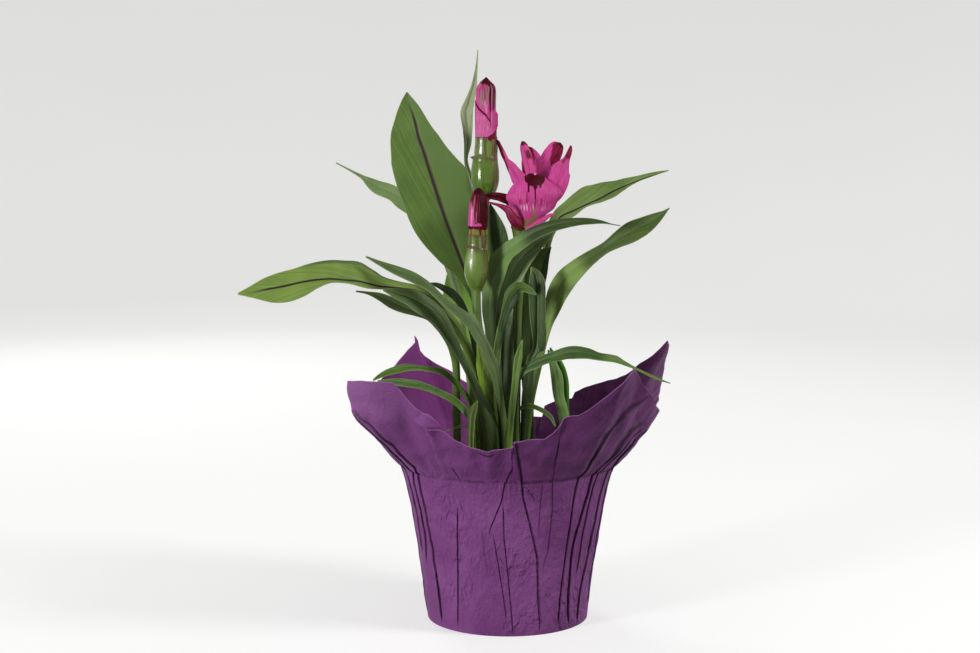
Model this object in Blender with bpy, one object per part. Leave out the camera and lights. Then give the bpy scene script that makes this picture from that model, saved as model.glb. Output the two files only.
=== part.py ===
"""Potted siam tulip in a purple pleated paper cover, built as separate closed bodies in metres."""
import math

import bmesh
import bpy
from mathutils import Vector

MM = 0.001

# Paper cover, in millimetres.
NECK_RADIUS = 76.0
NECK_HEIGHT = 111.0
# Wall of the cover from its foot to the neck: height, radius and share of the pleat depth.
WALL = ((0, 56.3, 0.0), (6, 57.2, 1.0), (34, 60.6, 1.0), (73, 66.5, 1.0), (96, 71.0, 0.9), (111, 76.0, 0.6))
PAPER_THICKNESS = 1.0
PLEAT_COUNT = 24
PLEAT_SHAPE = ((0.0, -0.5), (0.34, -0.1), (0.67, 0.3), (0.9, 0.5))
WALL_PLEAT_DEPTH = 1.6
COLLAR_PLEAT_DEPTH = 2.6
FLARE_POWER = 0.8
COLLAR_ROWS = 5
# Rim of the square sheet: angle in degrees, radius and height.
RIM = (
    (0, 105, 151), (8, 109, 156), (16, 118, 168), (26, 135, 189), (36, 116, 170), (48, 103, 157),
    (60, 95, 143), (80, 92, 124), (92, 94, 131), (104, 97, 143), (114, 106, 160), (121, 131, 187),
    (132, 116, 174), (150, 106, 162), (172, 103, 150), (188, 104, 150), (200, 112, 160),
    (210, 124, 173), (219, 137, 181), (228, 120, 174), (235, 106, 162), (246, 96, 143),
    (262, 94, 134), (276, 95, 141), (288, 97, 147), (298, 105, 162), (307, 128, 191),
    (316, 119, 179), (328, 112, 167), (344, 108, 150),
)

# Nursery pot and soil.
GAP = 0.35
POT_FOOT_RADIUS = 50.0
POT_RIM_RADIUS = 68.5
POT_HEIGHT = 105.0
POT_WALL = 1.6
POT_FLOOR = 2.2
POT_RIM_DROP = 12.0
POT_RIM_STEP = 1.6
DRAIN_RADIUS = 4.0
DRAIN_RING = 34.0
DRAIN_COUNT = 6
SOIL_TOP = 99.0
SOIL_LUMP = 1.6
FOOT_DEPTH = 13.0
HOLE_CLEARANCE = 0.4
HOLE_SCALE = 1.06

# Leaf blades.
BLADE_HALF_THICKNESS = 0.36
TIP_HALF_WIDTH = 0.4
VIEW_DIRECTION = Vector((0.0, 1.0, 0.0))

# Each leaf: midline points, foot radius, start of blade, left and right half-width, place of the
# widest point, turn at foot and tip in degrees, fold in degrees, curl and edge wave.
LEAVES = {
    'leaf_tall_left': ([(-15, 10, 116), (-18, 11, 168), (-24, 10, 214), (-31, 6, 244), (-41, 0, 281), (-52, -2, 317), (-62, 0, 347), (-70, 6, 370)],
        2.6, 0.4, 30, 18, 0.58, -10, 12, 14, 0.1, 0.8),
    'leaf_far_left': ([(-23, 19, 114), (-28, 26, 173), (-36, 36, 223), (-49, 46, 262), (-65, 54, 286), (-83, 62, 300), (-105, 72, 311), (-127, 80, 321)],
        2.4, 0.42, 8, 10, 0.62, 15, 35, 12, 0.05, 0.4),
    'leaf_broad_left': ([(-24, -8, 118), (-27, -8, 163), (-35, -8, 195), (-49, -11, 219), (-69, -18, 233), (-92, -26, 239), (-116, -34, 243), (-141, -42, 241), (-166, -48, 237), (-182, -52, 235)],
        2.4, 0.38, 16, 20, 0.66, 54, 60, 14, 0.1, 0.8),
    'leaf_over_stem': ([(-1, -13, 120), (-3, -19, 151), (-8, -24, 174), (-15, -29, 197), (-30, -32, 219), (-49, -33, 235), (-74, -30, 248), (-98, -26, 259)],
        2.2, 0.34, 11, 12, 0.4, 28, 50, 16, 0.1, 0.6),
    'leaf_under_left': ([(-36, 12, 115), (-37, 11, 153), (-38, 6, 190), (-44, 2, 207), (-56, -2, 218), (-75, -6, 222), (-91, -10, 228), (-106, -14, 234)],
        3.2, 0.58, 10, 10, 0.35, 40, 50, 14, 0.05, 0.3),
    'leaf_low_arch': ([(-13, -16, 121), (-14, -16, 140), (-19, -17, 159), (-26, -19, 179), (-37, -21, 202), (-48, -24, 219), (-66, -29, 231), (-86, -34, 237)],
        7.0, 0.3, 11, 10, 0.35, 25, 55, 12, 0.1, 0.5),
    'leaf_dark_left': ([(-20, -2, 118), (-22, 2, 155), (-25, 4, 186), (-30, 1, 208), (-37, -3, 223), (-47, -7, 234), (-57, -9, 240)],
        2.2, 0.45, 9, 10, 0.45, 20, 40, 14, 0.05, 0.3),
    'leaf_pale_back': ([(-21, 27, 113), (-23, 34, 168), (-26, 42, 196), (-30, 48, 213), (-34, 52, 226), (-37, 54, 238)],
        2.4, 0.5, 8.5, 9, 0.45, -10, -20, 10, 0.05, 0.4),
    'leaf_narrow_top': ([(-10, 20, 114), (-12, 19, 174), (-15, 20, 231), (-20, 22, 285), (-25, 23, 317), (-30, 22, 341), (-27, 19, 366), (-21, 12, 401)],
        2.2, 0.55, 7, 7, 0.4, 40, -35, 18, 0.05, 0.5),
    'leaf_right_upper': ([(11, 21, 114), (13, 24, 159), (19, 30, 209), (28, 36, 250), (40, 45, 282), (61, 55, 294), (92, 68, 306), (120, 80, 316)],
        2.4, 0.5, 19, 13, 0.5, -48, -58, 14, 0.08, 0.7),
    'leaf_arch_centre': ([(-2, 1, 117), (-5, 1, 155), (-10, 0, 198), (-12, -4, 230), (-2, -14, 258), (20, -28, 276), (49, -35, 283), (75, -42, 280)],
        2.4, 0.38, 15, 12, 0.42, -42, -52, 14, 0.1, 0.6),
    'leaf_arch_back': ([(5, 1, 117), (-1, -1, 184), (0, -2, 219), (6, -3, 244), (18, -5, 261), (29, -8, 273)],
        2.0, 0.45, 8, 8, 0.5, -20, -30, 14, 0.05, 0.3),
    'leaf_right_long': ([(15, 4, 117), (17, 3, 154), (22, 2, 189), (31, 2, 220), (45, 0, 245), (67, -6, 266), (90, -14, 280), (111, -22, 291)],
        2.4, 0.4, 9, 11, 0.68, -36, -46, 14, 0.1, 0.7),
    'leaf_folded': ([(11, -3, 118), (13, -5, 156), (15, -9, 192), (17, -12, 217), (17, -13, 234), (16, -13, 250)],
        2.4, 0.55, 10, 10, 0.45, 12, 8, 26, 0.05, 0.2),
    'leaf_dark_right': ([(17, 13, 115), (16, 13, 167), (20, 12, 203), (23, 10, 232), (28, 8, 251), (30, 6, 263)],
        2.0, 0.5, 9, 8, 0.45, -10, -20, 14, 0.05, 0.2),
    'leaf_curled': ([(0, -5, 119), (-3, -9, 163), (-6, -13, 196), (-4, -16, 217), (-1, -19, 234), (6, -23, 241), (12, -31, 240)],
        2.0, 0.52, 8, 8, 0.45, -15, -35, 16, 0.2, 0.3),
    'leaf_low_left_a': ([(-32, -4, 118), (-31, -6, 143), (-34, -9, 160), (-43, -16, 174), (-57, -25, 180), (-73, -35, 181), (-92, -46, 176)],
        2.0, 0.34, 9, 9, 0.42, 50, 62, 12, 0.1, 0.5),
    'leaf_low_left_b': ([(-29, -14, 117), (-29, -19, 138), (-34, -25, 153), (-45, -35, 164), (-66, -46, 173), (-88, -58, 177)],
        2.0, 0.36, 8, 8, 0.42, 52, 62, 12, 0.1, 0.4),
    'leaf_thin': ([(-33, -21, 117), (-33, -21, 133), (-36, -22, 139), (-41, -25, 138), (-47, -29, 135)],
        1.4, 0.45, 2.6, 2.6, 0.45, 30, 40, 10, 0.05, 0.1),
    'sheath_front_left': ([(-25, -27, 118), (-25, -27, 137), (-24, -27, 148), (-21, -27, 158)],
        2.8, 0.35, 3.2, 3.2, 0.3, 0, 0, 14, 0.2, 0.0),
    'leaf_young_yellow': ([(-15, 3, 117), (-15, 4, 151), (-16, 2, 170), (-19, -1, 184), (-22, -3, 197)],
        2.0, 0.5, 3.6, 3.6, 0.35, 20, 20, 30, 0.2, 0.0),
    'shoot_young': ([(2, -24, 119), (2, -24, 141), (4, -24, 160), (6, -25, 180), (10, -27, 201)],
        2.2, 0.35, 4.2, 4.2, 0.3, 0, 10, 24, 0.2, 0.0),
    'leaf_right_arch': ([(8, -16, 121), (7, -17, 147), (8, -19, 165), (16, -22, 181), (33, -29, 190), (57, -38, 192), (84, -47, 187), (109, -56, 176)],
        2.2, 0.32, 7.5, 7.0, 0.42, -50, -62, 12, 0.1, 0.5),
    'leaf_low_right': ([(9, -9, 116), (9, -10, 139), (13, -14, 151), (20, -21, 155), (28, -29, 150), (34, -36, 141)],
        1.6, 0.4, 3.4, 3.4, 0.42, -30, -40, 12, 0.1, 0.1),
    'shoot_right': ([(42, 4, 114), (41, 4, 136), (39, 4, 154), (35, 4, 172), (30, 3, 192)],
        3.5, 0.35, 6.5, 6.5, 0.28, 8, 12, 26, 0.15, 0.0),
    'leaf_behind_bloom': ([(-3, 23, 113), (-3, 20, 181), (-3, 17, 232), (-6, 14, 267), (-12, 10, 292)],
        2.2, 0.6, 7, 7, 0.5, -20, -30, 18, 0.1, 0.2),
}
NARROW_PIECES = ('leaf_thin', 'sheath_front_left', 'leaf_young_yellow', 'shoot_young', 'leaf_low_right',
                 'shoot_right')

# Flower stalks: midline from the soil up through the green cup, then radius at each point.
STALKS = {
    'stalk_low_bud': (
        ((-7.5, 5, 117), (-11, -3, 155), (-17, -12, 192), (-21, -18, 212), (-22, -20, 235),
         (-22, -20, 239), (-22, -20, 246), (-22, -20, 255), (-21.8, -20, 262), (-21.5, -20, 264),
         (-21.3, -20, 273)),
        (2.6, 2.8, 3.0, 3.1, 3.3, 6.2, 8.3, 7.9, 5.6, 6.6, 6.9)),
    'stalk_tall_bud': (
        ((-5, 13, 116), (-8, 10, 189), (-13, 8, 247), (-16, 7, 296), (-16, 6.5, 301), (-16, 6, 310),
         (-16, 6, 319), (-15.8, 6, 324), (-15.6, 6, 326), (-15.4, 6, 340)),
        (2.6, 2.8, 3.0, 3.2, 7.2, 9.9, 9.6, 7.4, 7.3, 7.9)),
    'stalk_bloom': (
        ((6.5, 9, 117), (7, 7, 198), (9, 6, 245), (12, 0, 266), (13.8, -4, 275), (14.3, -4, 278.5)),
        (2.6, 2.8, 3.0, 3.4, 5.0, 5.4)),
}

# Closed bract bodies of the buds: midline and radius at each point.
BUD_BRACTS = {
    'bracts_low_bud': (
        ((-21.3, -20, 273.4), (-21.2, -20, 281), (-20.8, -20, 291), (-20.4, -20, 300), (-20.2, -20, 305)),
        (6.6, 7.1, 6.9, 4.6, 1.0)),
    'bracts_tall_bud': (
        ((-15.4, 6, 340.4), (-15.2, 6, 350), (-15.0, 6, 362), (-14.9, 6, 371), (-14.8, 6, 377),
         (-14.7, 6, 381)),
        (7.6, 8.0, 7.9, 6.9, 4.6, 1.2)),
}
BUD_FLUTES = 0.05

# Bracts of the open flower head, in the order of the leaf values.
BLOOM_CORE = (((14.4, -4, 279.0), (15.8, -4.2, 285), (17.2, -4.6, 291), (18.5, -5, 298), (19, -5, 306)),
              (5.4, 7.0, 7.6, 6.4, 2.5))
BLOOM_BRACTS = (
    (((18, -6, 289), (20, -13, 297), (21, -18, 309), (21, -17, 318)), 3.0, 14.5, 14.5, 0.62, 0, 0, -14),
    (((15, -4, 292), (7.5, -2, 310), (0, 1, 325), (-8, 3, 341)), 2.6, 4.6, 5.4, 0.45, -14, -20, 16),
    (((17, -2, 295), (14, 0, 313), (13, 1, 328), (11, 2, 339)), 2.6, 5.2, 5.2, 0.6, 4, 10, 18),
    (((20, -1, 293), (27, 2, 308), (33, 5, 323), (37, 7, 337)), 2.8, 8.5, 8.5, 0.62, 8, 12, 12),
    (((21, -4, 292), (32, -2, 304), (40.5, 0, 319), (44, 1, 336)), 2.6, 5.0, 6.0, 0.4, 20, 24, 16),
    (((15, -7, 289), (6, -13, 297), (-5, -19, 301), (-15, -24, 302)), 2.2, 3.6, 4.4, 0.4, 50, 60, 14),
    (((15, -7, 287), (8, -15, 290), (0, -22, 294), (-10, -27, 300)), 2.4, 6.0, 5.0, 0.5, 30, 36, -16),
    (((19, -6, 289), (27, -9, 291), (33, -12, 294), (38, -15, 297)), 2.4, 6.4, 5.0, 0.5, -35, -40, -12),
    (((19, 0, 292), (20, 9, 306), (18, 16, 320), (15, 20, 332)), 2.8, 9.0, 9.0, 0.6, 180, 180, -14),
)

COLOURS = {
    'purple paper': ((0.085, 0.018, 0.17, 1.0), 0.75),
    'black plastic': ((0.02, 0.02, 0.022, 1.0), 0.45),
    'potting soil': ((0.05, 0.03, 0.018, 1.0), 0.95),
    'leaf green': ((0.06, 0.17, 0.03, 1.0), 0.5),
    'young green': ((0.22, 0.36, 0.05, 1.0), 0.45),
    'stalk green': ((0.10, 0.20, 0.04, 1.0), 0.45),
    'bract pink': ((0.72, 0.30, 0.36, 1.0), 0.5),
}


def clear_scene():
    for item in list(bpy.data.objects):
        bpy.data.objects.remove(item, do_unlink=True)


def make_material(name):
    colour, roughness = COLOURS[name]
    material = bpy.data.materials.new(name)
    material.use_nodes = True
    shader = material.node_tree.nodes['Principled BSDF']
    shader.inputs['Base Color'].default_value = colour
    shader.inputs['Roughness'].default_value = roughness
    return material


def add_object(name, points, faces, colour):
    """Makes one object from points in millimetres, with its faces turned outward."""
    mesh = bpy.data.meshes.new(name)
    mesh.from_pydata([tuple(Vector(p) * MM) for p in points], [], faces)
    work = bmesh.new()
    work.from_mesh(mesh)
    bmesh.ops.recalc_face_normals(work, faces=work.faces)
    if work.calc_volume(signed=True) < 0:
        bmesh.ops.reverse_faces(work, faces=work.faces)
    work.to_mesh(mesh)
    work.free()
    mesh.shade_smooth()
    mesh.set_sharp_from_angle(angle=math.radians(40))
    item = bpy.data.objects.new(name, mesh)
    bpy.context.scene.collection.objects.link(item)
    item.data.materials.append(make_material(colour))
    return item


def smooth_path(points, count):
    """Even points along a smooth curve through the given ones, with their fractions of the length."""
    knots = [Vector(p) for p in points]
    knots = [2 * knots[0] - knots[1]] + knots + [2 * knots[-1] - knots[-2]]
    dense = []
    for before, start, end, after in zip(knots, knots[1:], knots[2:], knots[3:]):
        for step in range(24):
            t = step / 24
            dense.append(0.5 * ((2 * start) + (end - before) * t
                                + (2 * before - 5 * start + 4 * end - after) * t * t
                                + (3 * start - before - 3 * end + after) * t ** 3))
    dense.append(knots[-2])
    lengths = [0.0]
    for a, b in zip(dense, dense[1:]):
        lengths.append(lengths[-1] + (b - a).length)
    picked = []
    cursor = 0
    for i in range(count):
        goal = lengths[-1] * i / (count - 1)
        while cursor < len(dense) - 2 and lengths[cursor + 1] < goal:
            cursor += 1
        span = lengths[cursor + 1] - lengths[cursor]
        share = min(1.0, max(0.0, (goal - lengths[cursor]) / span)) if span > 0 else 0.0
        picked.append(dense[cursor].lerp(dense[cursor + 1], share))
    return picked


def path_tangents(path):
    tangents = []
    last = len(path) - 1
    for i in range(len(path)):
        tangents.append((path[min(i + 1, last)] - path[max(i - 1, 0)]).normalized())
    return tangents


def blade_half_width(t, start, peak, foot, widest):
    """Half-width of a lance-shaped blade at a fraction of the whole length."""
    if t <= start:
        return foot
    s = (t - start) / (1 - start)
    if s < peak:
        rise = math.sin(0.5 * math.pi * s / peak) ** 1.3
    else:
        rise = max(0.0, math.cos(0.5 * math.pi * (s - peak) / (1 - peak))) ** 0.85
    rest = foot * (1 - s)
    return max(TIP_HALF_WIDTH, rest + (widest - rest) * rise)


def stem_share(t, start):
    """One where the leaf is a round stalk, falling to nothing in the blade."""
    s = (t - start * 0.8) / max(0.12, (1 - start) * 0.35)
    s = min(1.0, max(0.0, s))
    return 1 - s * s * (3 - 2 * s)


def leaf_section(centre, tangent, shape, t, columns):
    """Points of one cross-section: upper side from right to left, then lower side."""
    foot, start, left, right, peak, turn_foot, turn_tip, fold, curl, wave = shape
    across = tangent.cross(VIEW_DIRECTION).normalized()
    face = tangent.cross(across).normalized()
    turn = math.radians(turn_foot + (turn_tip - turn_foot) * t)
    side = across * math.cos(turn) + face * math.sin(turn)
    up = face * math.cos(turn) - across * math.sin(turn)
    stem = stem_share(t, start)
    lean = math.radians(fold) * (1 - stem)
    upper = []
    lower = []
    for j in range(columns + 1):
        u = -1 + 2 * j / columns
        widest = left if u > 0 else right
        width = blade_half_width(t, start, peak, foot, widest)
        bow = (1 - stem) * u * u
        lift = abs(u) * width * math.sin(lean) - curl * width * bow
        lift += wave * bow * math.sin(2 * math.pi * 1.6 * t + 2 * u)
        middle = centre + side * (u * width * math.cos(lean)) + up * lift
        roundness = max(0.3, 0.95 * (1 - u * u) ** 0.5)
        half = BLADE_HALF_THICKNESS + stem * (foot * roundness - BLADE_HALF_THICKNESS)
        upper.append(middle + up * half)
        lower.append(middle - up * half)
    return upper + lower


def strip_faces(rows, columns):
    """Triangles of a closed blade, split alike on its two sides."""
    ring = 2 * (columns + 1)
    faces = []
    for i in range(rows - 1):
        a = i * ring
        b = a + ring
        for j in range(columns):
            low = columns + 1
            faces += [(a + j, a + j + 1, b + j + 1), (a + j, b + j + 1, b + j)]
            faces += [(a + low + j, b + low + j + 1, a + low + j + 1),
                      (a + low + j, b + low + j, b + low + j + 1)]
        for j in (0, columns):
            low = j + columns + 1
            faces += [(a + j, b + j, b + low), (a + j, b + low, a + low)]
    for start in (0, (rows - 1) * ring):
        for j in range(columns):
            low = start + columns + 1 + j
            faces += [(start + j, start + j + 1, low + 1), (start + j, low + 1, low)]
    return faces


def leaf_points(path, shape, columns):
    points = []
    last = len(path) - 1
    for i, (centre, tangent) in enumerate(zip(path, path_tangents(path))):
        points += leaf_section(centre, tangent, shape, i / last, columns)
    return points


def foot_path(midline):
    """Adds the straight foot that stands in the soil."""
    x, y = midline[0][:2]
    return [(x, y, SOIL_TOP - FOOT_DEPTH), (x, y, SOIL_TOP + 4)] + list(midline)


def make_leaf(name):
    midline, *shape = LEAVES[name]
    narrow = name in NARROW_PIECES
    columns = 2 if narrow else 4
    rows = 11 if narrow else 15
    path = smooth_path(foot_path(midline), rows)
    colour = 'young green' if narrow else 'leaf green'
    return add_object(name, leaf_points(path, shape, columns), strip_faces(rows, columns), colour)


def make_tube(name, path, radii, colour, sides=10, flutes=0.0):
    """A closed round body along a path, one radius for each point."""
    points = []
    for i, (centre, tangent, radius) in enumerate(zip(path, path_tangents(path), radii)):
        across = tangent.cross(VIEW_DIRECTION).normalized()
        face = tangent.cross(across).normalized()
        for j in range(sides):
            angle = 2 * math.pi * j / sides
            ridge = 1 + flutes * math.cos(3 * angle + 0.5 * i)
            points.append(centre + (across * math.cos(angle) + face * math.sin(angle)) * radius * ridge)
    faces = []
    for i in range(len(path) - 1):
        for j in range(sides):
            k = (j + 1) % sides
            a, b = i * sides, (i + 1) * sides
            faces.append((a + j, a + k, b + k, b + j))
    faces.append(tuple(range(sides)))
    faces.append(tuple(range((len(path) - 1) * sides, len(path) * sides)))
    return add_object(name, points, faces, colour)


def make_stalk(name):
    midline, radii = STALKS[name]
    foot = radii[0]
    path = [Vector(p) for p in foot_path(midline)]
    return make_tube(name, path, (foot, foot) + tuple(radii), 'stalk green')


def make_bud(name):
    path, radii = BUD_BRACTS[name]
    return make_tube(name, [Vector(p) for p in path], radii, 'bract pink', flutes=BUD_FLUTES)


def join_in_one(base, others, operation):
    """Applies one Boolean of the other objects on the base and removes them."""
    group = bpy.data.collections.new('cutters')
    bpy.context.scene.collection.children.link(group)
    for item in others:
        bpy.context.scene.collection.objects.unlink(item)
        group.objects.link(item)
    change = base.modifiers.new('join', 'BOOLEAN')
    change.operation = operation
    change.operand_type = 'COLLECTION'
    change.collection = group
    change.solver = 'MANIFOLD' if operation == 'UNION' else 'EXACT'
    view = bpy.context.evaluated_depsgraph_get()
    result = bpy.data.meshes.new_from_object(base.evaluated_get(view))
    base.modifiers.clear()
    old = base.data
    base.data = result
    bpy.data.meshes.remove(old)
    for item in others:
        bpy.data.objects.remove(item, do_unlink=True)
    bpy.data.collections.remove(group)
    result.name = base.name


def make_open_bloom():
    path, radii = BLOOM_CORE
    core = make_tube('bracts_open_bloom', [Vector(p) for p in path], radii, 'bract pink')
    parts = []
    rows, columns = 8, 4
    for number, (midline, foot, left, right, peak, turn_foot, turn_tip, fold) in enumerate(BLOOM_BRACTS):
        shape = (foot, 0.0, left, right, peak, turn_foot, turn_tip, fold, 0.08, 0.0)
        points = leaf_points(smooth_path(midline, rows), shape, columns)
        parts.append(add_object('bract_%d' % number, points, strip_faces(rows, columns), 'bract pink'))
    join_in_one(core, parts, 'UNION')
    return core


def rim_at(angle):
    """Radius and height of the rim at an angle in degrees."""
    closed = RIM + ((RIM[0][0] + 360, RIM[0][1], RIM[0][2]),)
    for low, high in zip(closed, closed[1:]):
        if low[0] <= angle <= high[0]:
            t = (angle - low[0]) / (high[0] - low[0])
            return low[1] + (high[1] - low[1]) * t, low[2] + (high[2] - low[2]) * t
    return RIM[0][1], RIM[0][2]


def cover_profile(angle, fold):
    """Points up the outside of the cover at one angle, from the foot to the rim."""
    rim_radius, rim_height = rim_at(angle)
    profile = []
    for height, radius, strength in WALL:
        profile.append((radius + fold * strength * WALL_PLEAT_DEPTH, height))
    for row in range(1, COLLAR_ROWS + 1):
        v = row / COLLAR_ROWS
        radius = NECK_RADIUS + (rim_radius - NECK_RADIUS) * v ** FLARE_POWER
        height = NECK_HEIGHT + (rim_height - NECK_HEIGHT) * v
        depth = fold * COLLAR_PLEAT_DEPTH * (0.4 + 0.6 * math.sin(math.pi * v * 0.8))
        profile.append((radius + depth * 0.7, height - depth * 0.7))
    return profile


def make_cover():
    columns = []
    for pleat in range(PLEAT_COUNT):
        for share, fold in PLEAT_SHAPE:
            angle = 360 * (pleat + share) / PLEAT_COUNT
            turn = math.radians(angle)
            direction = Vector((math.cos(turn), math.sin(turn), 0))
            columns.append([direction * radius + Vector((0, 0, height))
                            for radius, height in cover_profile(angle, fold)])
    count, rows = len(columns), len(columns[0])
    inner = []
    for i, column in enumerate(columns):
        before, after = columns[i - 1], columns[(i + 1) % count]
        line = []
        for j, point in enumerate(column):
            along = column[min(j + 1, rows - 1)] - column[max(j - 1, 0)]
            around = after[j] - before[j]
            outward = around.cross(along).normalized()
            line.append(point - outward * PAPER_THICKNESS)
        line[0] = Vector((column[0].x, column[0].y, 0)) * (1 - PAPER_THICKNESS / WALL[0][1])
        line[0].z = PAPER_THICKNESS
        inner.append(line)
    points = [p for column in columns for p in column] + [p for line in inner for p in line]
    faces = []
    shift = count * rows
    for i in range(count):
        k = (i + 1) % count
        for j in range(rows - 1):
            a, b, c, d = i * rows + j, k * rows + j, k * rows + j + 1, i * rows + j + 1
            faces += [(a, b, c), (a, c, d)]
            faces += [(a + shift, c + shift, b + shift), (a + shift, d + shift, c + shift)]
        top, next_top = i * rows + rows - 1, k * rows + rows - 1
        faces.append((top, next_top, next_top + shift, top + shift))
    faces.append(tuple(i * rows for i in reversed(range(count))))
    faces.append(tuple(i * rows + shift for i in range(count)))
    return add_object('paper_cover', points, faces, 'purple paper')


def make_lathe(name, profile, colour, sides=40):
    """A round body: rings of one profile, closed on the axis at both ends."""
    points = []
    for radius, height in profile:
        for j in range(sides):
            turn = 2 * math.pi * j / sides
            points.append((radius * math.cos(turn), radius * math.sin(turn), height))
    faces = []
    for i in range(len(profile) - 1):
        for j in range(sides):
            k = (j + 1) % sides
            faces.append((i * sides + j, i * sides + k, (i + 1) * sides + k, (i + 1) * sides + j))
    faces.append(tuple(range(sides)))
    faces.append(tuple(range((len(profile) - 1) * sides, len(profile) * sides)))
    return add_object(name, points, faces, colour)


def pot_radius(height):
    share = (height - PAPER_THICKNESS) / (POT_HEIGHT - PAPER_THICKNESS)
    return POT_FOOT_RADIUS + (POT_RIM_RADIUS - POT_RIM_STEP - POT_FOOT_RADIUS) * share


def make_nursery_pot():
    foot = PAPER_THICKNESS + GAP
    step = POT_HEIGHT - POT_RIM_DROP
    profile = (
        (POT_FOOT_RADIUS, foot), (pot_radius(step), step), (pot_radius(step) + POT_RIM_STEP, step),
        (POT_RIM_RADIUS, POT_HEIGHT), (POT_RIM_RADIUS - POT_WALL, POT_HEIGHT),
        (pot_radius(step) - POT_WALL, step), (POT_FOOT_RADIUS - POT_WALL, foot + POT_FLOOR),
    )
    pot = make_lathe('nursery_pot', profile, 'black plastic')
    drains = []
    for number in range(DRAIN_COUNT):
        turn = 2 * math.pi * number / DRAIN_COUNT
        x, y = DRAIN_RING * math.cos(turn), DRAIN_RING * math.sin(turn)
        path = [Vector((x, y, -5)), Vector((x, y, 12))]
        drains.append(make_tube('drain_%d' % number, path, (DRAIN_RADIUS, DRAIN_RADIUS), 'black plastic'))
    join_in_one(pot, drains, 'DIFFERENCE')
    return pot


def make_soil(feet):
    floor = PAPER_THICKNESS + GAP + POT_FLOOR + GAP
    edge = pot_radius(floor) - POT_WALL - 2 * GAP
    top_edge = pot_radius(SOIL_TOP) - POT_WALL - 3 * GAP
    step = POT_HEIGHT - POT_RIM_DROP
    profile = (
        (edge, floor), (pot_radius(step) - POT_WALL - 2 * GAP, step), (top_edge, SOIL_TOP - SOIL_LUMP),
        (top_edge * 0.8, SOIL_TOP - 0.3), (top_edge * 0.4, SOIL_TOP),
    )
    soil = make_lathe('soil', profile, 'potting soil')
    holes = []
    for number, (x, y, radius) in enumerate(feet):
        wide = radius * HOLE_SCALE + HOLE_CLEARANCE
        path = [Vector((x, y, SOIL_TOP - FOOT_DEPTH - GAP)), Vector((x, y, SOIL_TOP + 10))]
        holes.append(make_tube('hole_%d' % number, path, (wide, wide), 'potting soil', sides=12))
    join_in_one(soil, holes, 'DIFFERENCE')
    return soil


def foot_list():
    feet = [(value[0][0][0], value[0][0][1], value[1]) for value in LEAVES.values()]
    feet += [(path[0][0], path[0][1], radii[0]) for path, radii in STALKS.values()]
    return feet


def main():
    clear_scene()
    make_cover()
    make_nursery_pot()
    make_soil(foot_list())
    for name in LEAVES:
        make_leaf(name)
    for name in STALKS:
        make_stalk(name)
    for name in BUD_BRACTS:
        make_bud(name)
    make_open_bloom()


main()
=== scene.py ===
"""Dressed model of a potted siam tulip in a purple pleated paper cover."""
import math

import bmesh
import bpy
import numpy as np
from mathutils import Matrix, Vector, noise


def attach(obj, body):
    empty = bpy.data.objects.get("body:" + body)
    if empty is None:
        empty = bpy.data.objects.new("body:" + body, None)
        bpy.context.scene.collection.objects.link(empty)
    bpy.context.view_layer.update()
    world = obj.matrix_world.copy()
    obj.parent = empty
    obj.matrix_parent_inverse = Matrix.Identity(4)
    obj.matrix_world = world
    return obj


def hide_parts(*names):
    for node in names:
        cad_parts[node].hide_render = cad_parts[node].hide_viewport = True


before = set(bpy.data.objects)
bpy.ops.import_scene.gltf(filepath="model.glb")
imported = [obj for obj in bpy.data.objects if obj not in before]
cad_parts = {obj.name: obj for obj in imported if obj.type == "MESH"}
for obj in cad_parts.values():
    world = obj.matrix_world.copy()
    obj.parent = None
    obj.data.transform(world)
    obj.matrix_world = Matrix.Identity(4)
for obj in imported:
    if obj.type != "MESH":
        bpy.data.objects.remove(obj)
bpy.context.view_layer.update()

MM = 0.001
BODY = "root"

# Camera: place in metres, how far it looks down in degrees, lens and sensor in millimetres.
CAMERA_PLACE = (-0.0125, -1.2, 0.3376)
CAMERA_DOWN = 6.2
CAMERA_LENS = 62.96
SENSOR_WIDTH = 36
# Round lamps as place and width in metres and power in watts, and what they shine on.
LAMPS = {
    "key_lamp": ((-1.4, -1.2, 0.38), 0.45, 24.0),
    "fill_lamp": ((1.5, -0.55, 1.15), 0.6, 20.0),
    "back_lamp": ((-0.7, 1.5, 1.0), 0.8, 9.0),
}
LAMP_TARGET = (0, 0, 0.2)
AIR_STRENGTH = 0.36
# Studio floor in metres: radius of its flat part, radius of the bend behind it, height of the wall;
# then how many sides it has and steps in the bend.
FLOOR_RADIUS, FLOOR_BEND, FLOOR_WALL = 1.9, 0.7, 3.4
FLOOR_SIDES, BEND_STEPS = 96, 12

# Start of a blade that has no round stem.
BRACT_START = -0.3
# Points in a smooth curve from one given point to the next.
CURVE_STEPS = 24
# Faces that meet at more than this angle in degrees look sharp.
SHARP_ANGLE, PAPER_SHARP_ANGLE = 50, 60
# How far the points across a blade crowd towards its margins, from 0 to 1.
MARGIN_CROWDING = 0.35
# Rows and columns of the fine shapes.
LEAF_GRID, YOUNG_GRID, FLAP_GRID, RIM_FLAP_GRID = (130, 20), (60, 12), (60, 16), (24, 8)
LIP_GRID, BRACT_GRID, CORE_GRID = (110, 76), (80, 26), (40, 40)
STALK_GRID, BUD_GRID = (190, 48), (150, 128)

# Paper cover, in millimetres: wall as height and radius, then the rim of the sheet.
WALL = ((0, 57.0), (3, 57.5), (6, 57.8), (34, 61.0), (73, 67.0), (96, 71.5), (111, 76.0))
NECK_RADIUS = 76.0
NECK_HEIGHT = 111.0
FLARE_POWER = 0.8
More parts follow.
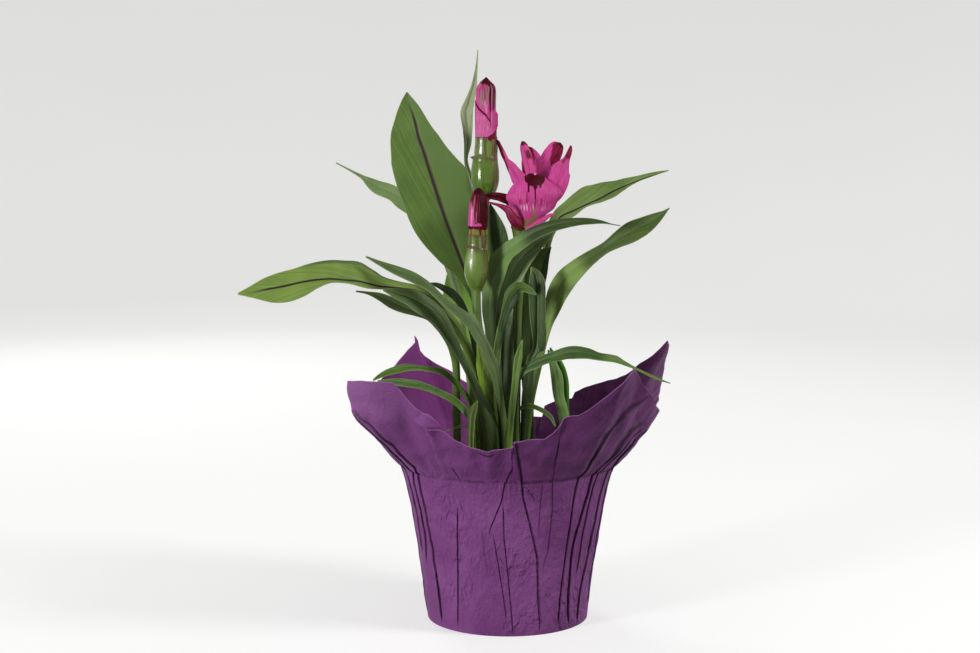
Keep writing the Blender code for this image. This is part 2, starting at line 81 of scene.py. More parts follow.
# Corner that is bent upright near its rim: angle and spread in degrees, then how much farther out
# the sheet lies from the neck (0) to the rim (1).
UPRIGHT_CORNER = (216, 13)
UPRIGHT_CURVE = ((0, 0), (0.3, 0.09), (0.45, 0.15), (0.61, 0.2), (0.7, 0.18), (0.78, 0.13), (0.86, 0.1),
                 (0.94, 0.05), (1, 0))
PAPER_WALL = 0.9
PAPER_RIM = 0.5
FLAP_HALF_THICKNESS = 0.25
# Rim of the square sheet with its torn steps: angle in degrees, radius and height.
RIM = (
    (0, 105, 151), (8, 109, 156), (16, 117, 168), (22, 126.5, 181), (26.27, 135.6, 190.6),
    (28, 131, 186), (30, 126, 179.5), (34, 120, 171), (38, 113, 163), (41, 109, 160), (49, 102, 155),
    (58.6, 96.5, 148.5),
    (59.3, 96, 144), (67, 94, 140), (72.0, 93, 137), (72.8, 93, 128.5), (79.3, 92.5, 128),
    (80.2, 92, 123), (90, 93, 126), (97, 95, 134), (104, 97, 143), (107, 99, 153), (110, 102, 156),
    (113, 106, 162), (117, 119, 167), (120.4, 127, 175), (121.6, 129, 180), (122.7, 131, 191.2),
    (123.2, 130.5, 187), (123.21, 127.685, 184.2585), (125, 125, 182.2), (129, 120, 178.6),
    (137, 113, 170.5), (143, 110, 166), (152, 106, 162),
    (160, 104, 156), (172, 103, 150), (188, 104, 150), (196, 108, 156), (202, 113, 164),
    (206, 118, 173), (210, 125, 177), (216, 130.5, 179.5), (222, 131, 181), (227, 126, 181),
    (230, 117, 180), (232, 113.5, 172), (234, 109, 164), (237.8, 103.8, 159), (238.2, 103.2, 149.3),
    (241, 100.5, 147.8), (243.9, 98.5, 146.3), (246, 97, 143.5), (249, 96, 141), (254, 95, 138),
    (261.5, 94, 134.5), (263, 94, 135.5), (270.9, 94.5, 138), (271.6, 95, 142), (278, 95, 142),
    (284, 96, 143), (287.6, 97, 147), (289.5, 98, 151), (291, 99.5, 157), (296, 103.5, 158.5),
    (301, 114, 168), (305, 122, 177), (307, 127, 185), (308.6, 128, 191), (311, 125, 189),
    (314, 121, 187), (318, 118, 180), (322, 115, 174), (327, 113, 169.5), (336, 110, 158),
    (344, 108, 151), (352, 106, 150),
)
# Torn tip at the rim: midline with its half-widths, then shape as for a leaf.
RIM_FLAP = (
    ((-63, -83, 158.6, 1.5, 3), (-58, -87.6, 156.6, 3.4, 4.5), (-54.5, -89.8, 155.0, 4.3, 4.6),
     (-50, -90.6, 153.4, 2.8, 3), (-45.2, -91, 151.8, 0.4, 0.4)), (0.3, BRACT_START, 0, 0, 0, 0.0, 0))
# Folded tab at the rim: angles where its line of painted shadow starts and ends, and how far below the rim it
# runs.
RIM_TAB = (257.2, 264.4, 3.4)
# Pleats of the cover. Rows run from 0 at the foot over 1 at the neck to 2 at the rim.
# Each one: line as (row, angle), shown rows, depth in millimetres, side that lies on top, and how
# much wider the fold gapes on the collar.
FRONT_PLEATS = (
    (((0, 199), (1, 200), (1.12, 206), (1.5, 208), (2, 206)), (0.45, 1.62), 1.5, 1, 1.8),
    (((0, 206), (0.41, 205), (0.6, 208), (0.915, 206.5), (1.06, 213.5), (1.17, 216.4), (1.37, 216),
      (1.7, 212.6), (2, 209.5)), (0.4, 1.74), 1.8, 1, 2.4),
    (((0, 216), (0.18, 216.5), (0.44, 215.4), (0.66, 214.4), (0.885, 212.8), (0.98, 214.8), (1.08, 221.6),
      (1.29, 221.4), (1.53, 218.4), (1.7, 216), (2, 213.5)), (0.02, 1.74), 2.2, 1, 2.4),
    (((0, 233), (0.05, 233), (0.8, 240), (1, 241), (2, 240)), (0.03, 0.82), 1.2, 1, 1.0),
    (((0, 246), (1, 245), (1.2, 243.6), (2, 243)), (1.0, 1.3), 0.7, 1, 1.6),
    (((0, 249), (1, 246), (1.25, 249), (2, 248.5)), (1.0, 1.32), 0.6, -1, 1.6),
    (((0, 256), (0.5, 256), (0.69, 255), (1, 254), (2, 252)), (0.45, 0.72), 0.7, -1, 1.0),
    (((0, 257.6), (0.5, 258), (0.69, 259), (0.865, 265.6), (1, 268), (1.4, 271), (2, 270)),
     (0.66, 1.42), 1.4, 1, 1.0),
    (((0, 268.5), (0.14, 268), (0.43, 264), (0.64, 261), (0.7, 261.6), (0.865, 266.1), (1, 268.6),
      (1.4, 271.5), (2, 270.5)), (0.1, 0.66), 0.9, 1, 1.0),
    (((0, 273), (0.64, 267), (0.84, 266.7), (0.865, 266.6), (1, 269.2), (1.4, 272), (2, 271)),
     (0.0, 0.86), 1.1, 1, 1.0),
    (((0, 292), (0.225, 289), (0.5, 287), (0.7, 282), (0.9, 277), (1, 276), (1.5, 273.4), (2, 271.8)),
     (0.02, 2.1), 1.9, 1, 2.6),
    (((0, 292.7), (0.225, 290), (0.5, 287.8), (0.7, 285), (0.88, 284), (0.97, 278), (1, 276.8),
      (1.5, 274.5), (2, 273)), (0.86, 0.99), 0.8, 1, 1.0),
    (((0, 293.4), (0.225, 291), (0.5, 288.7), (0.67, 288), (1, 288), (2, 284)), (0.64, 1.02), 0.7, -1, 1.0),
    (((0, 296), (0.44, 292.5), (0.55, 295), (0.8, 295.5), (1, 293.2), (1.35, 291.5), (2, 290.5)),
     (0.4, 1.7), 0.9, -1, 1.0),
    (((0, 307), (0.47, 308), (0.68, 309), (1, 308.6), (1.075, 309.8), (1.285, 310.2), (1.455, 313),
      (1.64, 316.8), (1.78, 321.8), (2, 331)), (0.04, 1.97), 2.2, -1, 6.5),
    (((0, 318), (0.13, 315.4), (0.26, 314.2), (0.46, 312.8), (0.555, 313), (0.71, 316.4), (0.865, 319.6),
      (0.98, 319.2), (1.065, 320.6), (1.175, 325.2), (1.315, 326.8), (1.53, 329), (1.65, 334.4), (2, 340)),
     (0.03, 1.7), 2.3, -1, 10.0),
    (((0, 322), (0.3, 319.5), (0.58, 321), (1, 324), (1.175, 328.4), (1.4, 331.2), (1.65, 337.4), (2, 343)),
     (0.35, 1.66), 1.4, -1, 1.4),
    (((0, 327), (0.24, 327), (0.42, 331.4), (0.62, 333.4), (0.8, 335), (1, 335), (1.3, 335.5), (1.46, 337),
      (1.62, 341), (2, 347)), (0.02, 1.72), 2.0, -1, 2.0),
    (((0, 344), (1, 346), (2, 353)), (0.1, 1.9), 1.4, -1, 1.0),
)
BACK_PLEAT_ANGLES = (358, 366, 374, 397, 405, 413, 427, 440, 452, 464, 475, 486, 495, 503, 511, 521, 532, 543)
PLEAT_PROFILE = ((-5.5, 0.0), (-2.6, 0.14), (-1.0, 0.3), (-0.3, 0.38), (0.0, 0.3), (0.18, -0.36),
                 (0.55, -0.42), (1.2, -0.16), (3.0, 0.0))
# Rows of wall and collar and points along the wall's curve, then columns between two pleats: how many
# for a degree, and how many at least and at most.
WALL_ROWS, COLLAR_ROWS, WALL_KNOTS = 44, 38, 60
COLUMNS_PER_DEGREE, LEAST_COLUMNS, MOST_COLUMNS = 1.4, 5, 21
# Further rows close to the neck and the rim, the row from which the cut edge shows, and where round
# the neck its fold shows: angles, and how deep it is and how dark its painted shade is.
FINE_ROWS = (0.97, 0.985, 0.993, 1.004, 1.01, 1.02, 1.991, 1.997)
EDGE_ROW = 1.994
NECK_CREASE = ((0, 0.2), (214, 0.2), (225, 0.6), (236, 0.15), (246, 0.4), (252, 0.8), (262, 0.1), (274, 0.1),
               (277, 0.8), (288, 0.7), (294, 0.4), (306, 0.15), (360, 0.2))
# Tones laid over the purple of the paper: mark on its points, how strong at most, screen colour.
# Painted shade: the collar tone darkens the outside of the collar, which turns downwards, and all of the
# inside.
PAPER_TONES = (("collar", 0.22, (84, 30, 88)), ("crease", 0.97, (12, 2, 14)), ("inside", 0.5, (124, 40, 118)),
               ("gloom", 0.55, (44, 16, 40)), ("worn", 0.45, (160, 106, 164)), ("edge", 0.6, (164, 116, 168)))

# Nursery pot and soil, in millimetres.
SOIL_TOP = 99.0
SOIL_EDGE = 64.2
SOIL_DEPTH, SOIL_TAPER = 30, 0.92
SOIL_RINGS, SOIL_SIDES = 34, 96
FOOT_DEPTH, FOOT_RISE = 13.0, 4
CRUMBS = {"Crumbs per Square Metre": 150000.0, "Crumb Size": 0.0011, "Seed": 7}
# Turn of a crumb in radians at most, and its least and greatest share of the size along each axis.
CRUMB_TURN, CRUMB_LEAST, CRUMB_MOST = (6.28, 6.28, 6.28), (0.4, 0.3, 0.2), (1.9, 1.1, 0.8)

# Leaves. Each one: midline with half-width to the left and right of the way up, then foot, start of
# blade, turn at foot and tip, fold, curl and edge wave.
LEAVES = {
    "leaf_tall_left": (
        ((-15.5, 10, 124.5, 2, 2), (-19, 11, 175, 2, 2), (-21.5, 10, 213.5, 2, 2.5),
         (-24.5, 8, 231, 3.5, 3.5), (-29.5, 6, 245.5, 8, 6.5), (-35, 3.5, 260.5, 16, 12),
         (-43.5, 0, 283, 24, 20.5), (-51.5, -1.5, 307.5, 25.5, 25), (-55, -2, 318.5, 25.5, 21),
         (-58.5, -1, 330, 24.5, 15.5), (-62, -0.5, 340, 21, 12.5), (-64.5, 1, 351, 16.5, 8),
         (-67.5, 3.5, 360, 10.5, 5.5), (-69.5, 5, 366, 5, 3), (-70.5, 6, 371, 0.4, 0.4)),
        2.6, 0.4, -10, 12, 10, 0.1, 0.8),
    "leaf_far_left": (
        ((-22.5, 20, 122.5, 2, 2), (-28.5, 26, 173, 2, 2), (-35.5, 36, 222.5, 3, 2.5),
         (-49, 46, 262, 4.5, 4), (-63.5, 53, 284, 8, 6), (-75.5, 59, 294, 9, 7),
         (-81.5, 61, 298, 7.5, 6), (-87.5, 64, 301, 7.5, 5.5), (-95, 67, 303.5, 6.5, 5),
         (-101, 70, 307, 4.5, 3.5), (-106.5, 72.5, 310.5, 2, 1.5), (-116.5, 76, 316, 1, 0.5),
         (-127, 80, 321, 0.4, 0.4)),
        2.4, 0.42, 15, 35, 12, 0.05, 0.4),
    "leaf_broad_left": (
        ((-24, -8, 127.5, 2, 2), (-23, -8, 156, 2, 2), (-25.5, -8, 183, 4, 3),
         (-30.5, -8, 198.5, 5, 3.5), (-39, -10, 211.5, 5.5, 4), (-47.5, -11, 221.5, 6, 4.5),
         (-55.5, -14, 229.5, 6, 5.5), (-64.5, -17, 234, 5, 5.5), (-72, -19, 235.5, 3, 6),
         (-80, -22, 236.5, 2.5, 7.5), (-88, -25, 237.5, 3, 10), (-95.5, -27, 239.5, 5, 13),
         (-103, -29.5, 241.5, 5, 16.5), (-111.5, -32.5, 242.5, 3, 16.5),
         (-121.5, -35.5, 243.5, 3.5, 16), (-132, -39, 243, 8, 14.5), (-142, -42.5, 241.5, 13.5, 12.5),
         (-151, -44.5, 239.5, 15.5, 12), (-162.5, -47, 237.5, 13, 9.5), (-174, -50, 235.5, 4.5, 4.5),
         (-182, -52, 235, 0.4, 0.4)),
        2.4, 0.36, 44, 44, 12, 0.1, 0.6),
    "leaf_over_stem": (
        ((-1.5, -14, 126, 3, 2), (-2.5, -17.5, 143.5, 3.5, 2), (-5, -20.5, 158, 4, 2.5),
         (-7.5, -24, 172.5, 6, 3.5), (-8.5, -25, 179.5, 7, 4.5), (-11, -26.5, 186, 8, 4),
         (-15.5, -29, 197, 6.5, 4), (-19.5, -30, 204.5, 8, 4), (-24, -31, 212.5, 8.5, 4.5),
         (-31.5, -32, 219, 7, 4), (-40, -32.5, 225.5, 6, 3.5), (-46.5, -33, 231.5, 5, 3),
         (-53.5, -32.5, 238, 5, 3), (-60.5, -31.5, 242.5, 6.5, 3.5), (-67, -31, 246, 7, 3.5),
         (-77.5, -29.5, 250, 5.5, 3), (-89, -27.5, 254.5, 2.5, 1.5), (-97.5, -26, 258.5, 1, 0.4)),
        2.2, 0.2, 40, 52, 14, 0.1, 0.4),
    "leaf_under_left": (
        ((-36, 12, 123.5, 2.5, 2.5), (-36.5, 11, 153.5, 3, 3), (-36.5, 8, 176.5, 2.5, 2.5),
         (-38.5, 6, 190, 4.5, 3), (-44.5, 3, 201.5, 4, 2.5), (-50.5, 0.5, 209.5, 4, 3),
         (-56, -1.5, 214.5, 4, 3), (-64.5, -4, 218, 4.5, 3.5), (-72.5, -5.5, 221, 5.5, 4),
         (-81, -7.5, 225, 6, 4), (-89, -9.5, 229, 4, 3), (-97.5, -12, 232, 1.5, 1),
         (-105.5, -14, 233.5, 0.5, 0.4)),
        3.2, 0.6, 34, 44, 14, 0.05, 0.3),
    "leaf_low_arch": (
        ((-12.5, -16, 125, 6.5, 6.5), (-13, -16, 139.5, 6.5, 6), (-15.5, -16.5, 149.5, 4.8, 4.6),
         (-19, -17, 159, 4, 3.5), (-23.5, -18, 169.5, 3.5, 3), (-28.5, -19, 180.5, 3.5, 3),
         (-33.5, -20, 191, 4, 3), (-37.5, -21, 199.5, 5, 3.5), (-41.5, -22, 207, 6.5, 4.5),
         (-46.5, -23.5, 215.5, 8, 5.5), (-52.5, -25, 222, 9, 6), (-60.5, -27.5, 227, 9.5, 7),
         (-68.5, -29.5, 231, 7.5, 5.5), (-77.5, -32, 234, 5, 3), (-85.5, -34, 236, 0.5, 0.4)),
        6.4, 0.3, 20, 42, 12, 0.1, 0.4),
    "leaf_dark_left": (
        ((-18, -1, 126.5, 2, 2), (-21, 3, 169, 3, 2), (-24, 3, 191.5, 2.5, 3),
         (-26.5, 1.5, 204.5, 1.8, 3.5), (-31, -1, 216, 1.8, 4), (-35.5, -3, 225, 1.8, 4.5),
         (-40.5, -5, 230.5, 2.0, 4.5), (-45.5, -7, 234.5, 1.8, 3), (-50, -7.5, 237, 1.5, 2),
         (-54.5, -8.5, 238.5, 0.5, 0.4)),
        2.2, 0.45, 20, 35, 14, 0.05, 0.3),
    "leaf_pale_back": (
        ((-21, 28, 121.5, 2, 2), (-22, 34, 168, 2, 2.5), (-24, 39.5, 187, 3, 2.5),
         (-27, 43.5, 200, 7.5, 5), (-31.5, 47.5, 212, 11.5, 8), (-36, 51.5, 223.5, 11.5, 9.5),
         (-38.5, 53, 233, 8, 7.5), (-40.5, 54, 241.5, 3.6, 3.8), (-41, 54, 247.5, 0.4, 0.4)),
        2.4, 0.36, -6, -12, 10, 0.05, 0.4),
    "leaf_narrow_top": (
        ((-11, 20, 123, 2, 2), (-12.5, 19, 174, 2, 2), (-15.5, 20, 224, 2.5, 2),
         (-19.5, 21.5, 267, 2.5, 2.5), (-22.5, 22, 292, 2.5, 2.5), (-24.5, 22.5, 304.5, 2.5, 2.5),
         (-27, 23, 313, 1.5, 2), (-29, 23, 320, 1.5, 1.5), (-29.5, 22.5, 326, 1.5, 1.5),
         (-28.5, 22, 335.5, 2.5, 3), (-28.5, 21.5, 346.5, 3.5, 4), (-29, 20, 357, 4.5, 5),
         (-27, 19, 364.5, 3.5, 4), (-24, 17, 375.5, 2, 2.5), (-22, 14.5, 388, 1, 1),
         (-21, 12, 400.5, 0.4, 0.4)),
        2.2, 0.5, 20, -15, 14, 0.05, 0.2),
    "leaf_right_upper": (
        ((12, 21.5, 122.5, 2, 2), (18, 25, 165.5, 2, 2), (22, 30, 208.5, 2.5, 3),
         (26, 35, 243, 2.5, 3), (28.5, 38.5, 261, 2.5, 3.5), (31.5, 42, 272.5, 4, 4.5),
         (38.5, 45, 282, 7, 5), (47, 48.5, 286, 10, 4.5), (56, 52.5, 290, 13, 2),
         (62, 55, 292.5, 14.5, 2.5), (68, 57.5, 295, 14, 4), (75.5, 61, 299, 11.5, 5.5),
         (83, 64, 302.5, 8, 4), (90.5, 67.5, 305.5, 6.5, 2), (98.5, 71, 308.5, 4.5, 1),
         (106, 74, 311, 3.5, 1), (113.5, 77, 313.5, 2, 1), (120.5, 80, 315.5, 0.4, 0.4)),
        2.4, 0.5, -34, -38, 12, 0.08, 0.5),
    "leaf_arch_centre": (
        ((-3.5, 1, 126, 2, 2), (-5.5, 1, 155, 2, 3), (-9, 0.5, 183.5, 4, 5.5),
         (-12, -0.5, 203.5, 4, 6), (-13, -2.5, 219, 5.5, 7.5), (-12, -5.5, 235, 6, 9),
         (-7, -11.5, 252, 7.5, 10.5), (-0.5, -15.5, 261, 6.5, 8.5), (7, -20.5, 267, 5.5, 7.5),
         (15.5, -25, 273.5, 5, 7), (25.5, -29.5, 278.5, 4.5, 6.5), (36, -32, 281.5, 4, 6),
         (48.5, -35, 283, 3, 4.5), (56.5, -37, 283, 2.5, 3.5), (63.5, -39, 282.5, 1.5, 2),
         (69.5, -40.5, 281.5, 0.5, 1), (75.5, -42, 280.5, 0.4, 0.4)),
        2.4, 0.3, -30, -42, 14, 0.1, 0.4),
    "leaf_arch_back": (
        ((4, 0.5, 126, 2, 2.5), (-2.5, 0, 158, 4, 6.5), (-3.5, -1, 183.5, 6, 9), (-4.5, -2, 210.5, 6, 9.5),
         (-2.5, -2.5, 228.5, 4.5, 8.5), (2, -3, 242.5, 6.5, 9.5), (9, -4, 254.5, 7, 9),
         (18, -5.5, 264, 4.5, 6.5), (26.5, -7.5, 270.5, 2.5, 3.5), (32.5, -8, 275, 0.4, 0.4)),
        2.0, 0.4, -16, -26, 12, 0.05, 0.3),
    "leaf_right_long": (
        ((14, 4, 125.5, 2, 2), (16.5, 3, 154.5, 2.8, 2.8), (21.5, 2, 179.5, 3, 3.4), (25, 2, 195.5, 3, 3.5),
         (28, 2, 209, 4, 5), (31, 2, 219.5, 5.5, 7.5), (34.5, 1, 231, 7, 9.5),
         (40, 0.5, 240.5, 7.5, 10), (48, -1, 248.5, 6.5, 8.5), (58, -3.5, 256.5, 5, 6.5),
         (68, -5.5, 263.5, 4, 5.5), (76.5, -9, 269.5, 6, 7.5), (85, -12, 275, 7.5, 10),
         (94, -15, 279.5, 6.5, 9), (101.5, -18, 284, 4.5, 6), (107, -20.5, 288, 2, 2.5),
         (110.5, -22, 291.5, 0.4, 0.4)),
        2.4, 0.36, -30, -36, 12, 0.1, 0.5),
    "leaf_folded": (
        ((11, -3.5, 127, 2, 2), (13, -5, 155.5, 3.4, 3.4), (16, -8, 183, 3.6, 3.6),
         (18.5, -9, 190, 2.5, 3), (20, -9.5, 194.5, 3, 6.5), (20.5, -10, 201.5, 4, 6.5),
         (20.5, -12, 216, 6, 6), (20.5, -13, 230.5, 7, 6), (20.5, -13, 238.5, 7, 5.5),
         (19, -13, 244.5, 5, 3.5), (16, -13, 250, 0.4, 0.4)),
        2.2, 0.5, 8, 4, 24, 0.05, 0.2),
    "leaf_dark_right": (
        ((17, 13, 124, 2.5, 2), (16, 13, 167.5, 6, 3), (18, 12, 207, 8.5, 4.5), (21, 11.5, 230.5, 10.5, 5),
         (23.5, 10.5, 246, 11, 5.5), (26.5, 9, 255, 9, 3.5), (30.5, 6, 263, 0.4, 0.4)),
        2.0, 0.5, -10, -16, 14, 0.05, 0.2),
    "leaf_curled": (
        ((-0.5, -6, 127.5, 2, 2), (-6, -9, 163.5, 2, 2.5), (-8, -12, 187, 2.5, 3),
         (-6, -14, 203, 2.5, 3.5), (-3.5, -15.5, 215, 2, 4), (-0.5, -17.5, 224.5, 3.5, 5.5),
         (2.5, -18.5, 231, 5.5, 6), (7, -22, 236, 5, 5), (11.5, -31, 237, 3, 3.5),
         (15.5, -31, 235, 2, 2.5), (19.5, -31, 232.5, 0.4, 0.5)),
        2.0, 0.42, -12, -24, 18, 0.2, 0.3),
    "leaf_low_left_a": (
        ((-24.5, -4.5, 127, 3.5, 2.5), (-24, -6, 143, 3, 2), (-26.5, -8, 154, 3, 2),
         (-30.5, -9, 161.5, 3, 2), (-35, -12, 168.5, 3.5, 2), (-41, -15.5, 174, 3.5, 2.5),
         (-47, -19, 178, 3.5, 2.5), (-54, -23.5, 180.5, 3.5, 2), (-61.5, -28, 182, 3, 2),
         (-69, -32.5, 183, 4, 2.5), (-76, -36.5, 182, 4.5, 2.5), (-83.5, -41, 180, 3.5, 2),
         (-88.5, -44, 177.5, 2, 1.5), (-92, -46, 175.5, 0.5, 0.4)),
        2.0, 0.3, 40, 50, 12, 0.1, 0.3),
    "leaf_low_left_b": (
        ((-23.5, -17, 129, 3.5, 2.5), (-24.5, -19.5, 141, 3, 2), (-28, -23, 149.5, 3.5, 2.5),
         (-33.5, -25.5, 155.5, 4, 2.5), (-39.5, -31, 161, 4, 2.5), (-47, -36, 166, 4, 2.5),
         (-53.5, -40, 169.5, 4, 2.5), (-61, -44, 172.5, 4.5, 2.5), (-68, -47, 174, 4.5, 2.5),
         (-76, -51.5, 175.5, 4, 2.5), (-82.5, -55, 176, 2.5, 1.5), (-88, -58, 177, 0.5, 0.4)),
        2.0, 0.3, 40, 50, 12, 0.1, 0.2),
    "leaf_thin": (
        ((-23.5, -21, 128, 1, 1), (-24.5, -21, 136.5, 1, 0.5), (-27, -21.5, 139, 1, 0.5),
         (-32.5, -22, 140, 1, 0.5), (-37.5, -23, 139, 1, 0.5), (-42.5, -26, 137.5, 0.5, 0.4),
         (-46, -28.5, 135, 0.4, 0.4)),
        0.9, 0.3, 20, 30, 8, 0.05, 0),
    "sheath_front_left": (
        ((-26, -27, 122.5, 2.5, 2.5), (-26, -27, 132.5, 2.5, 2.5), (-25.5, -27, 141.5, 2.5, 2.5),
         (-25, -27, 148.5, 3, 3), (-23, -27, 154, 2.5, 2), (-21, -27, 158.5, 0.4, 0.4)),
        2.4, 0.4, 0, 0, 14, 0.2, 0),
    "leaf_young_yellow": (
        ((-12, 3, 125.5, 2.5, 2), (-13, 3.5, 140, 3, 2.5), (-14.5, 4, 152, 3.5, 3),
         (-16.5, 2.5, 165.5, 4, 3.5), (-18.5, 0.5, 177.5, 4, 3), (-20, -1.5, 188, 2.5, 2.5),
         (-21.5, -3, 197.5, 0.4, 0.4)),
        2.0, 0.4, 10, 10, 24, 0.2, 0),
    "shoot_young": (
        ((0, -24, 123.5, 3, 3), (1.5, -24, 141, 2.5, 2.5), (3, -24, 155, 2.5, 2.5),
         (4.5, -24.5, 167, 2.5, 2.5), (5.5, -25, 178.5, 2.5, 2.5), (7, -26, 188, 3, 3),
         (8.5, -26.5, 195, 2, 1.5), (10, -27, 201, 0.4, 0.4)),
        2.2, 0.4, 0, 6, 22, 0.2, 0),
    "leaf_right_arch": (
        ((5.5, -16.5, 129, 2, 2.5), (5.5, -18, 154, 2, 2.5), (6.5, -19.5, 168.5, 2, 2.5),
         (8, -20.5, 175, 2, 3), (12, -21.5, 180, 2.5, 3.5), (18.5, -23.5, 184, 3.5, 4.5),
         (25.5, -26, 187.5, 3.5, 4.5), (33, -29, 190, 4, 5), (40.5, -31.5, 192.5, 4.5, 5.5),
         (47, -34.5, 193.5, 4.5, 6), (54.5, -37, 193, 4, 5), (61, -39.5, 191.5, 3, 4),
         (68, -41.5, 190, 3.5, 3), (73, -43.5, 189, 3.5, 2.5), (78.5, -45, 187, 2, 2),
         (85, -48, 184.5, 1, 1.5), (93, -50.5, 181, 1, 1.5), (101, -53.5, 177.5, 1, 1.5),
         (109, -56, 175, 0.4, 0.4)),
        2.2, 0.24, -36, -44, 10, 0.1, 0.2),
    "leaf_low_right": (
        ((6, -9.5, 128, 1.5, 1.5), (4.5, -10, 141, 1.5, 1.5), (6.5, -13, 149, 1.5, 1.5),
         (10.5, -14, 152, 1.5, 1.5), (15.5, -17, 153.5, 1.5, 2), (20, -22, 153, 1.5, 2),
         (25, -26, 151, 1.5, 2), (29.5, -31, 147.5, 1.5, 1.5), (32.5, -35, 142, 0.4, 0.4)),
        1.4, 0.3, -20, -26, 12, 0.1, 0),
    "shoot_right": (
        ((41.5, 4, 133, 4, 4), (40, 4, 147, 4, 4), (40.5, 4, 157, 3.5, 3.5), (39.5, 4, 168, 4, 4),
         (36, 4, 178, 4.5, 4.5), (32.5, 3.5, 186, 2.5, 2.5), (30, 3, 192, 0.4, 0.4)),
        3.6, 0.3, 0, 0, 20, 0.3, 0),
    "leaf_behind_bloom": (
        ((-2.5, 22.5, 122.5, 2, 3), (-2.5, 20.5, 166.5, 2.5, 8.5), (-2.5, 18.5, 210, 3, 9.5),
         (-3.5, 16, 242.5, 5, 8.5), (-5.5, 14.5, 260, 6.5, 8.5), (-8.5, 13, 274.5, 4.5, 8.5),
         (-11, 11, 286, 2.3, 4.5), (-12.5, 10, 293.5, 0.4, 0.4)),
        2.2, 0.5, -10, -20, 16, 0.1, 0.2),
}
# Rolled parts that lie in front of a leaf and grow together with it.
FLAPS = {
    "shoot_right": (
        ((41.5, 1, 133, 4, 4), (39, 0, 147, 3.9, 3.9), (36, -0.5, 159, 3.9, 3.9),
         (35, -0.5, 170, 4.3, 4.3), (32, 0.5, 181, 2.8, 2.8), (29.5, 2, 188, 1.4, 1.4),
         (28.5, 3, 190.5, 0.4, 0.4)),
        2.6, 0.2, 0, 0, 4, 0.5, 0),
    "leaf_folded": (
        ((17, -13.5, 250, 0.4, 0.4), (21, -15, 245.5, 2, 2), (23, -16, 239.5, 2.8, 2.8),
         (23.5, -16, 230, 2.8, 2.8), (23.5, -15, 214.5, 2.8, 2.8), (23.5, -14, 201.5, 3, 3),
         (23.5, -13, 194.5, 3, 3), (23.5, -12, 191, 2, 2)),
        0.6, -0.3, 0, 0, -10, 0.9, 0),
}
YOUNG = ("leaf_thin", "sheath_front_left", "leaf_young_yellow", "shoot_young", "leaf_low_right",
         "shoot_right")
# Finish of each leaf: bright and deep green as seen in daylight, width of the midrib in
# millimetres and how purple it is.
LEAF_FINISH = {
    "leaf_tall_left": ((103, 130, 60), (72, 100, 43), 2.7, 1.0),
    "leaf_far_left": ((122, 146, 92), (96, 120, 68), 0.7, 0.0),
    "leaf_broad_left": ((132, 158, 74), (100, 126, 54), 1.7, 1.0),
    "leaf_over_stem": ((103, 125, 76), (72, 94, 50), 0.8, 0.0),
    "leaf_under_left": ((108, 132, 74), (74, 96, 50), 0.8, 0.6),
    "leaf_low_arch": ((92, 116, 62), (62, 82, 42), 0.9, 0.0),
    "leaf_dark_left": ((60, 78, 38), (38, 54, 24), 0.8, 0.0),
    "leaf_pale_back": ((138, 182, 66), (108, 152, 46), 0.8, 0.0),
    "leaf_narrow_top": ((168, 184, 142), (134, 152, 106), 0.7, 0.0),
    "leaf_right_upper": ((134, 162, 88), (99, 127, 59), 1.5, 1.0),
    "leaf_arch_centre": ((68, 91, 42), (44, 64, 27), 0.8, 0.0),
    "leaf_arch_back": ((146, 170, 116), (106, 130, 82), 0.8, 0.4),
    "leaf_right_long": ((84, 108, 46), (57, 80, 31), 0.8, 0.0),
    "leaf_folded": ((84, 106, 62), (55, 75, 41), 0.8, 0.0),
    "leaf_dark_right": ((94, 118, 64), (60, 82, 40), 0.8, 0.0),
    "leaf_curled": ((84, 116, 46), (52, 76, 28), 0.8, 0.0),
    "leaf_low_left_a": ((96, 130, 44), (58, 88, 26), 0.7, 0.0),
    "leaf_low_left_b": ((98, 134, 56), (58, 88, 32), 0.7, 0.0),
    "leaf_thin": ((50, 70, 28), (30, 46, 18), 0.5, 0.0),
    "sheath_front_left": ((146, 178, 98), (108, 140, 68), 0.4, 0.0),
    "leaf_young_yellow": ((178, 216, 84), (142, 186, 58), 0.6, 0.0),
    "shoot_young": ((112, 146, 68), (80, 110, 44), 0.6, 0.0),
    "leaf_right_arch": ((80, 108, 52), (50, 76, 32), 0.7, 0.0),
    "leaf_low_right": ((76, 104, 44), (44, 68, 26), 0.5, 0.0),
    "shoot_right": ((118, 152, 84), (84, 118, 54), 0.6, 0.0),
    "leaf_behind_bloom": ((80, 104, 54), (48, 68, 34), 0.7, 0.0),
}
# Colour of the stem under a blade.
STEM_GREEN = (96, 126, 50)
# The darkest of these stem colours, for stems deep in the crowded middle of the plant, are painted shade.
STEM_FINISH = {
    "leaf_broad_left": (70, 92, 38),
    "leaf_over_stem": (112, 142, 72),
    "leaf_low_arch": (46, 68, 20),
    "leaf_folded": (34, 50, 20),
    "leaf_right_long": (84, 112, 46),
    "leaf_dark_right": (40, 58, 24),
    "leaf_arch_centre": (34, 50, 18),
    "leaf_arch_back": (38, 54, 26),
    "leaf_curled": (34, 52, 16),
    "leaf_behind_bloom": (30, 44, 15),
    "leaf_right_upper": (128, 146, 84),
    "leaf_young_yellow": (172, 210, 84),
    "shoot_young": (132, 172, 62),
    "shoot_right": (112, 146, 76),
}
RIB_PURPLE = (50, 26, 34)
# Tone of margins and backs, in the light's own scale.
PALE_GREEN = (0.36, 0.44, 0.2, 1.0)
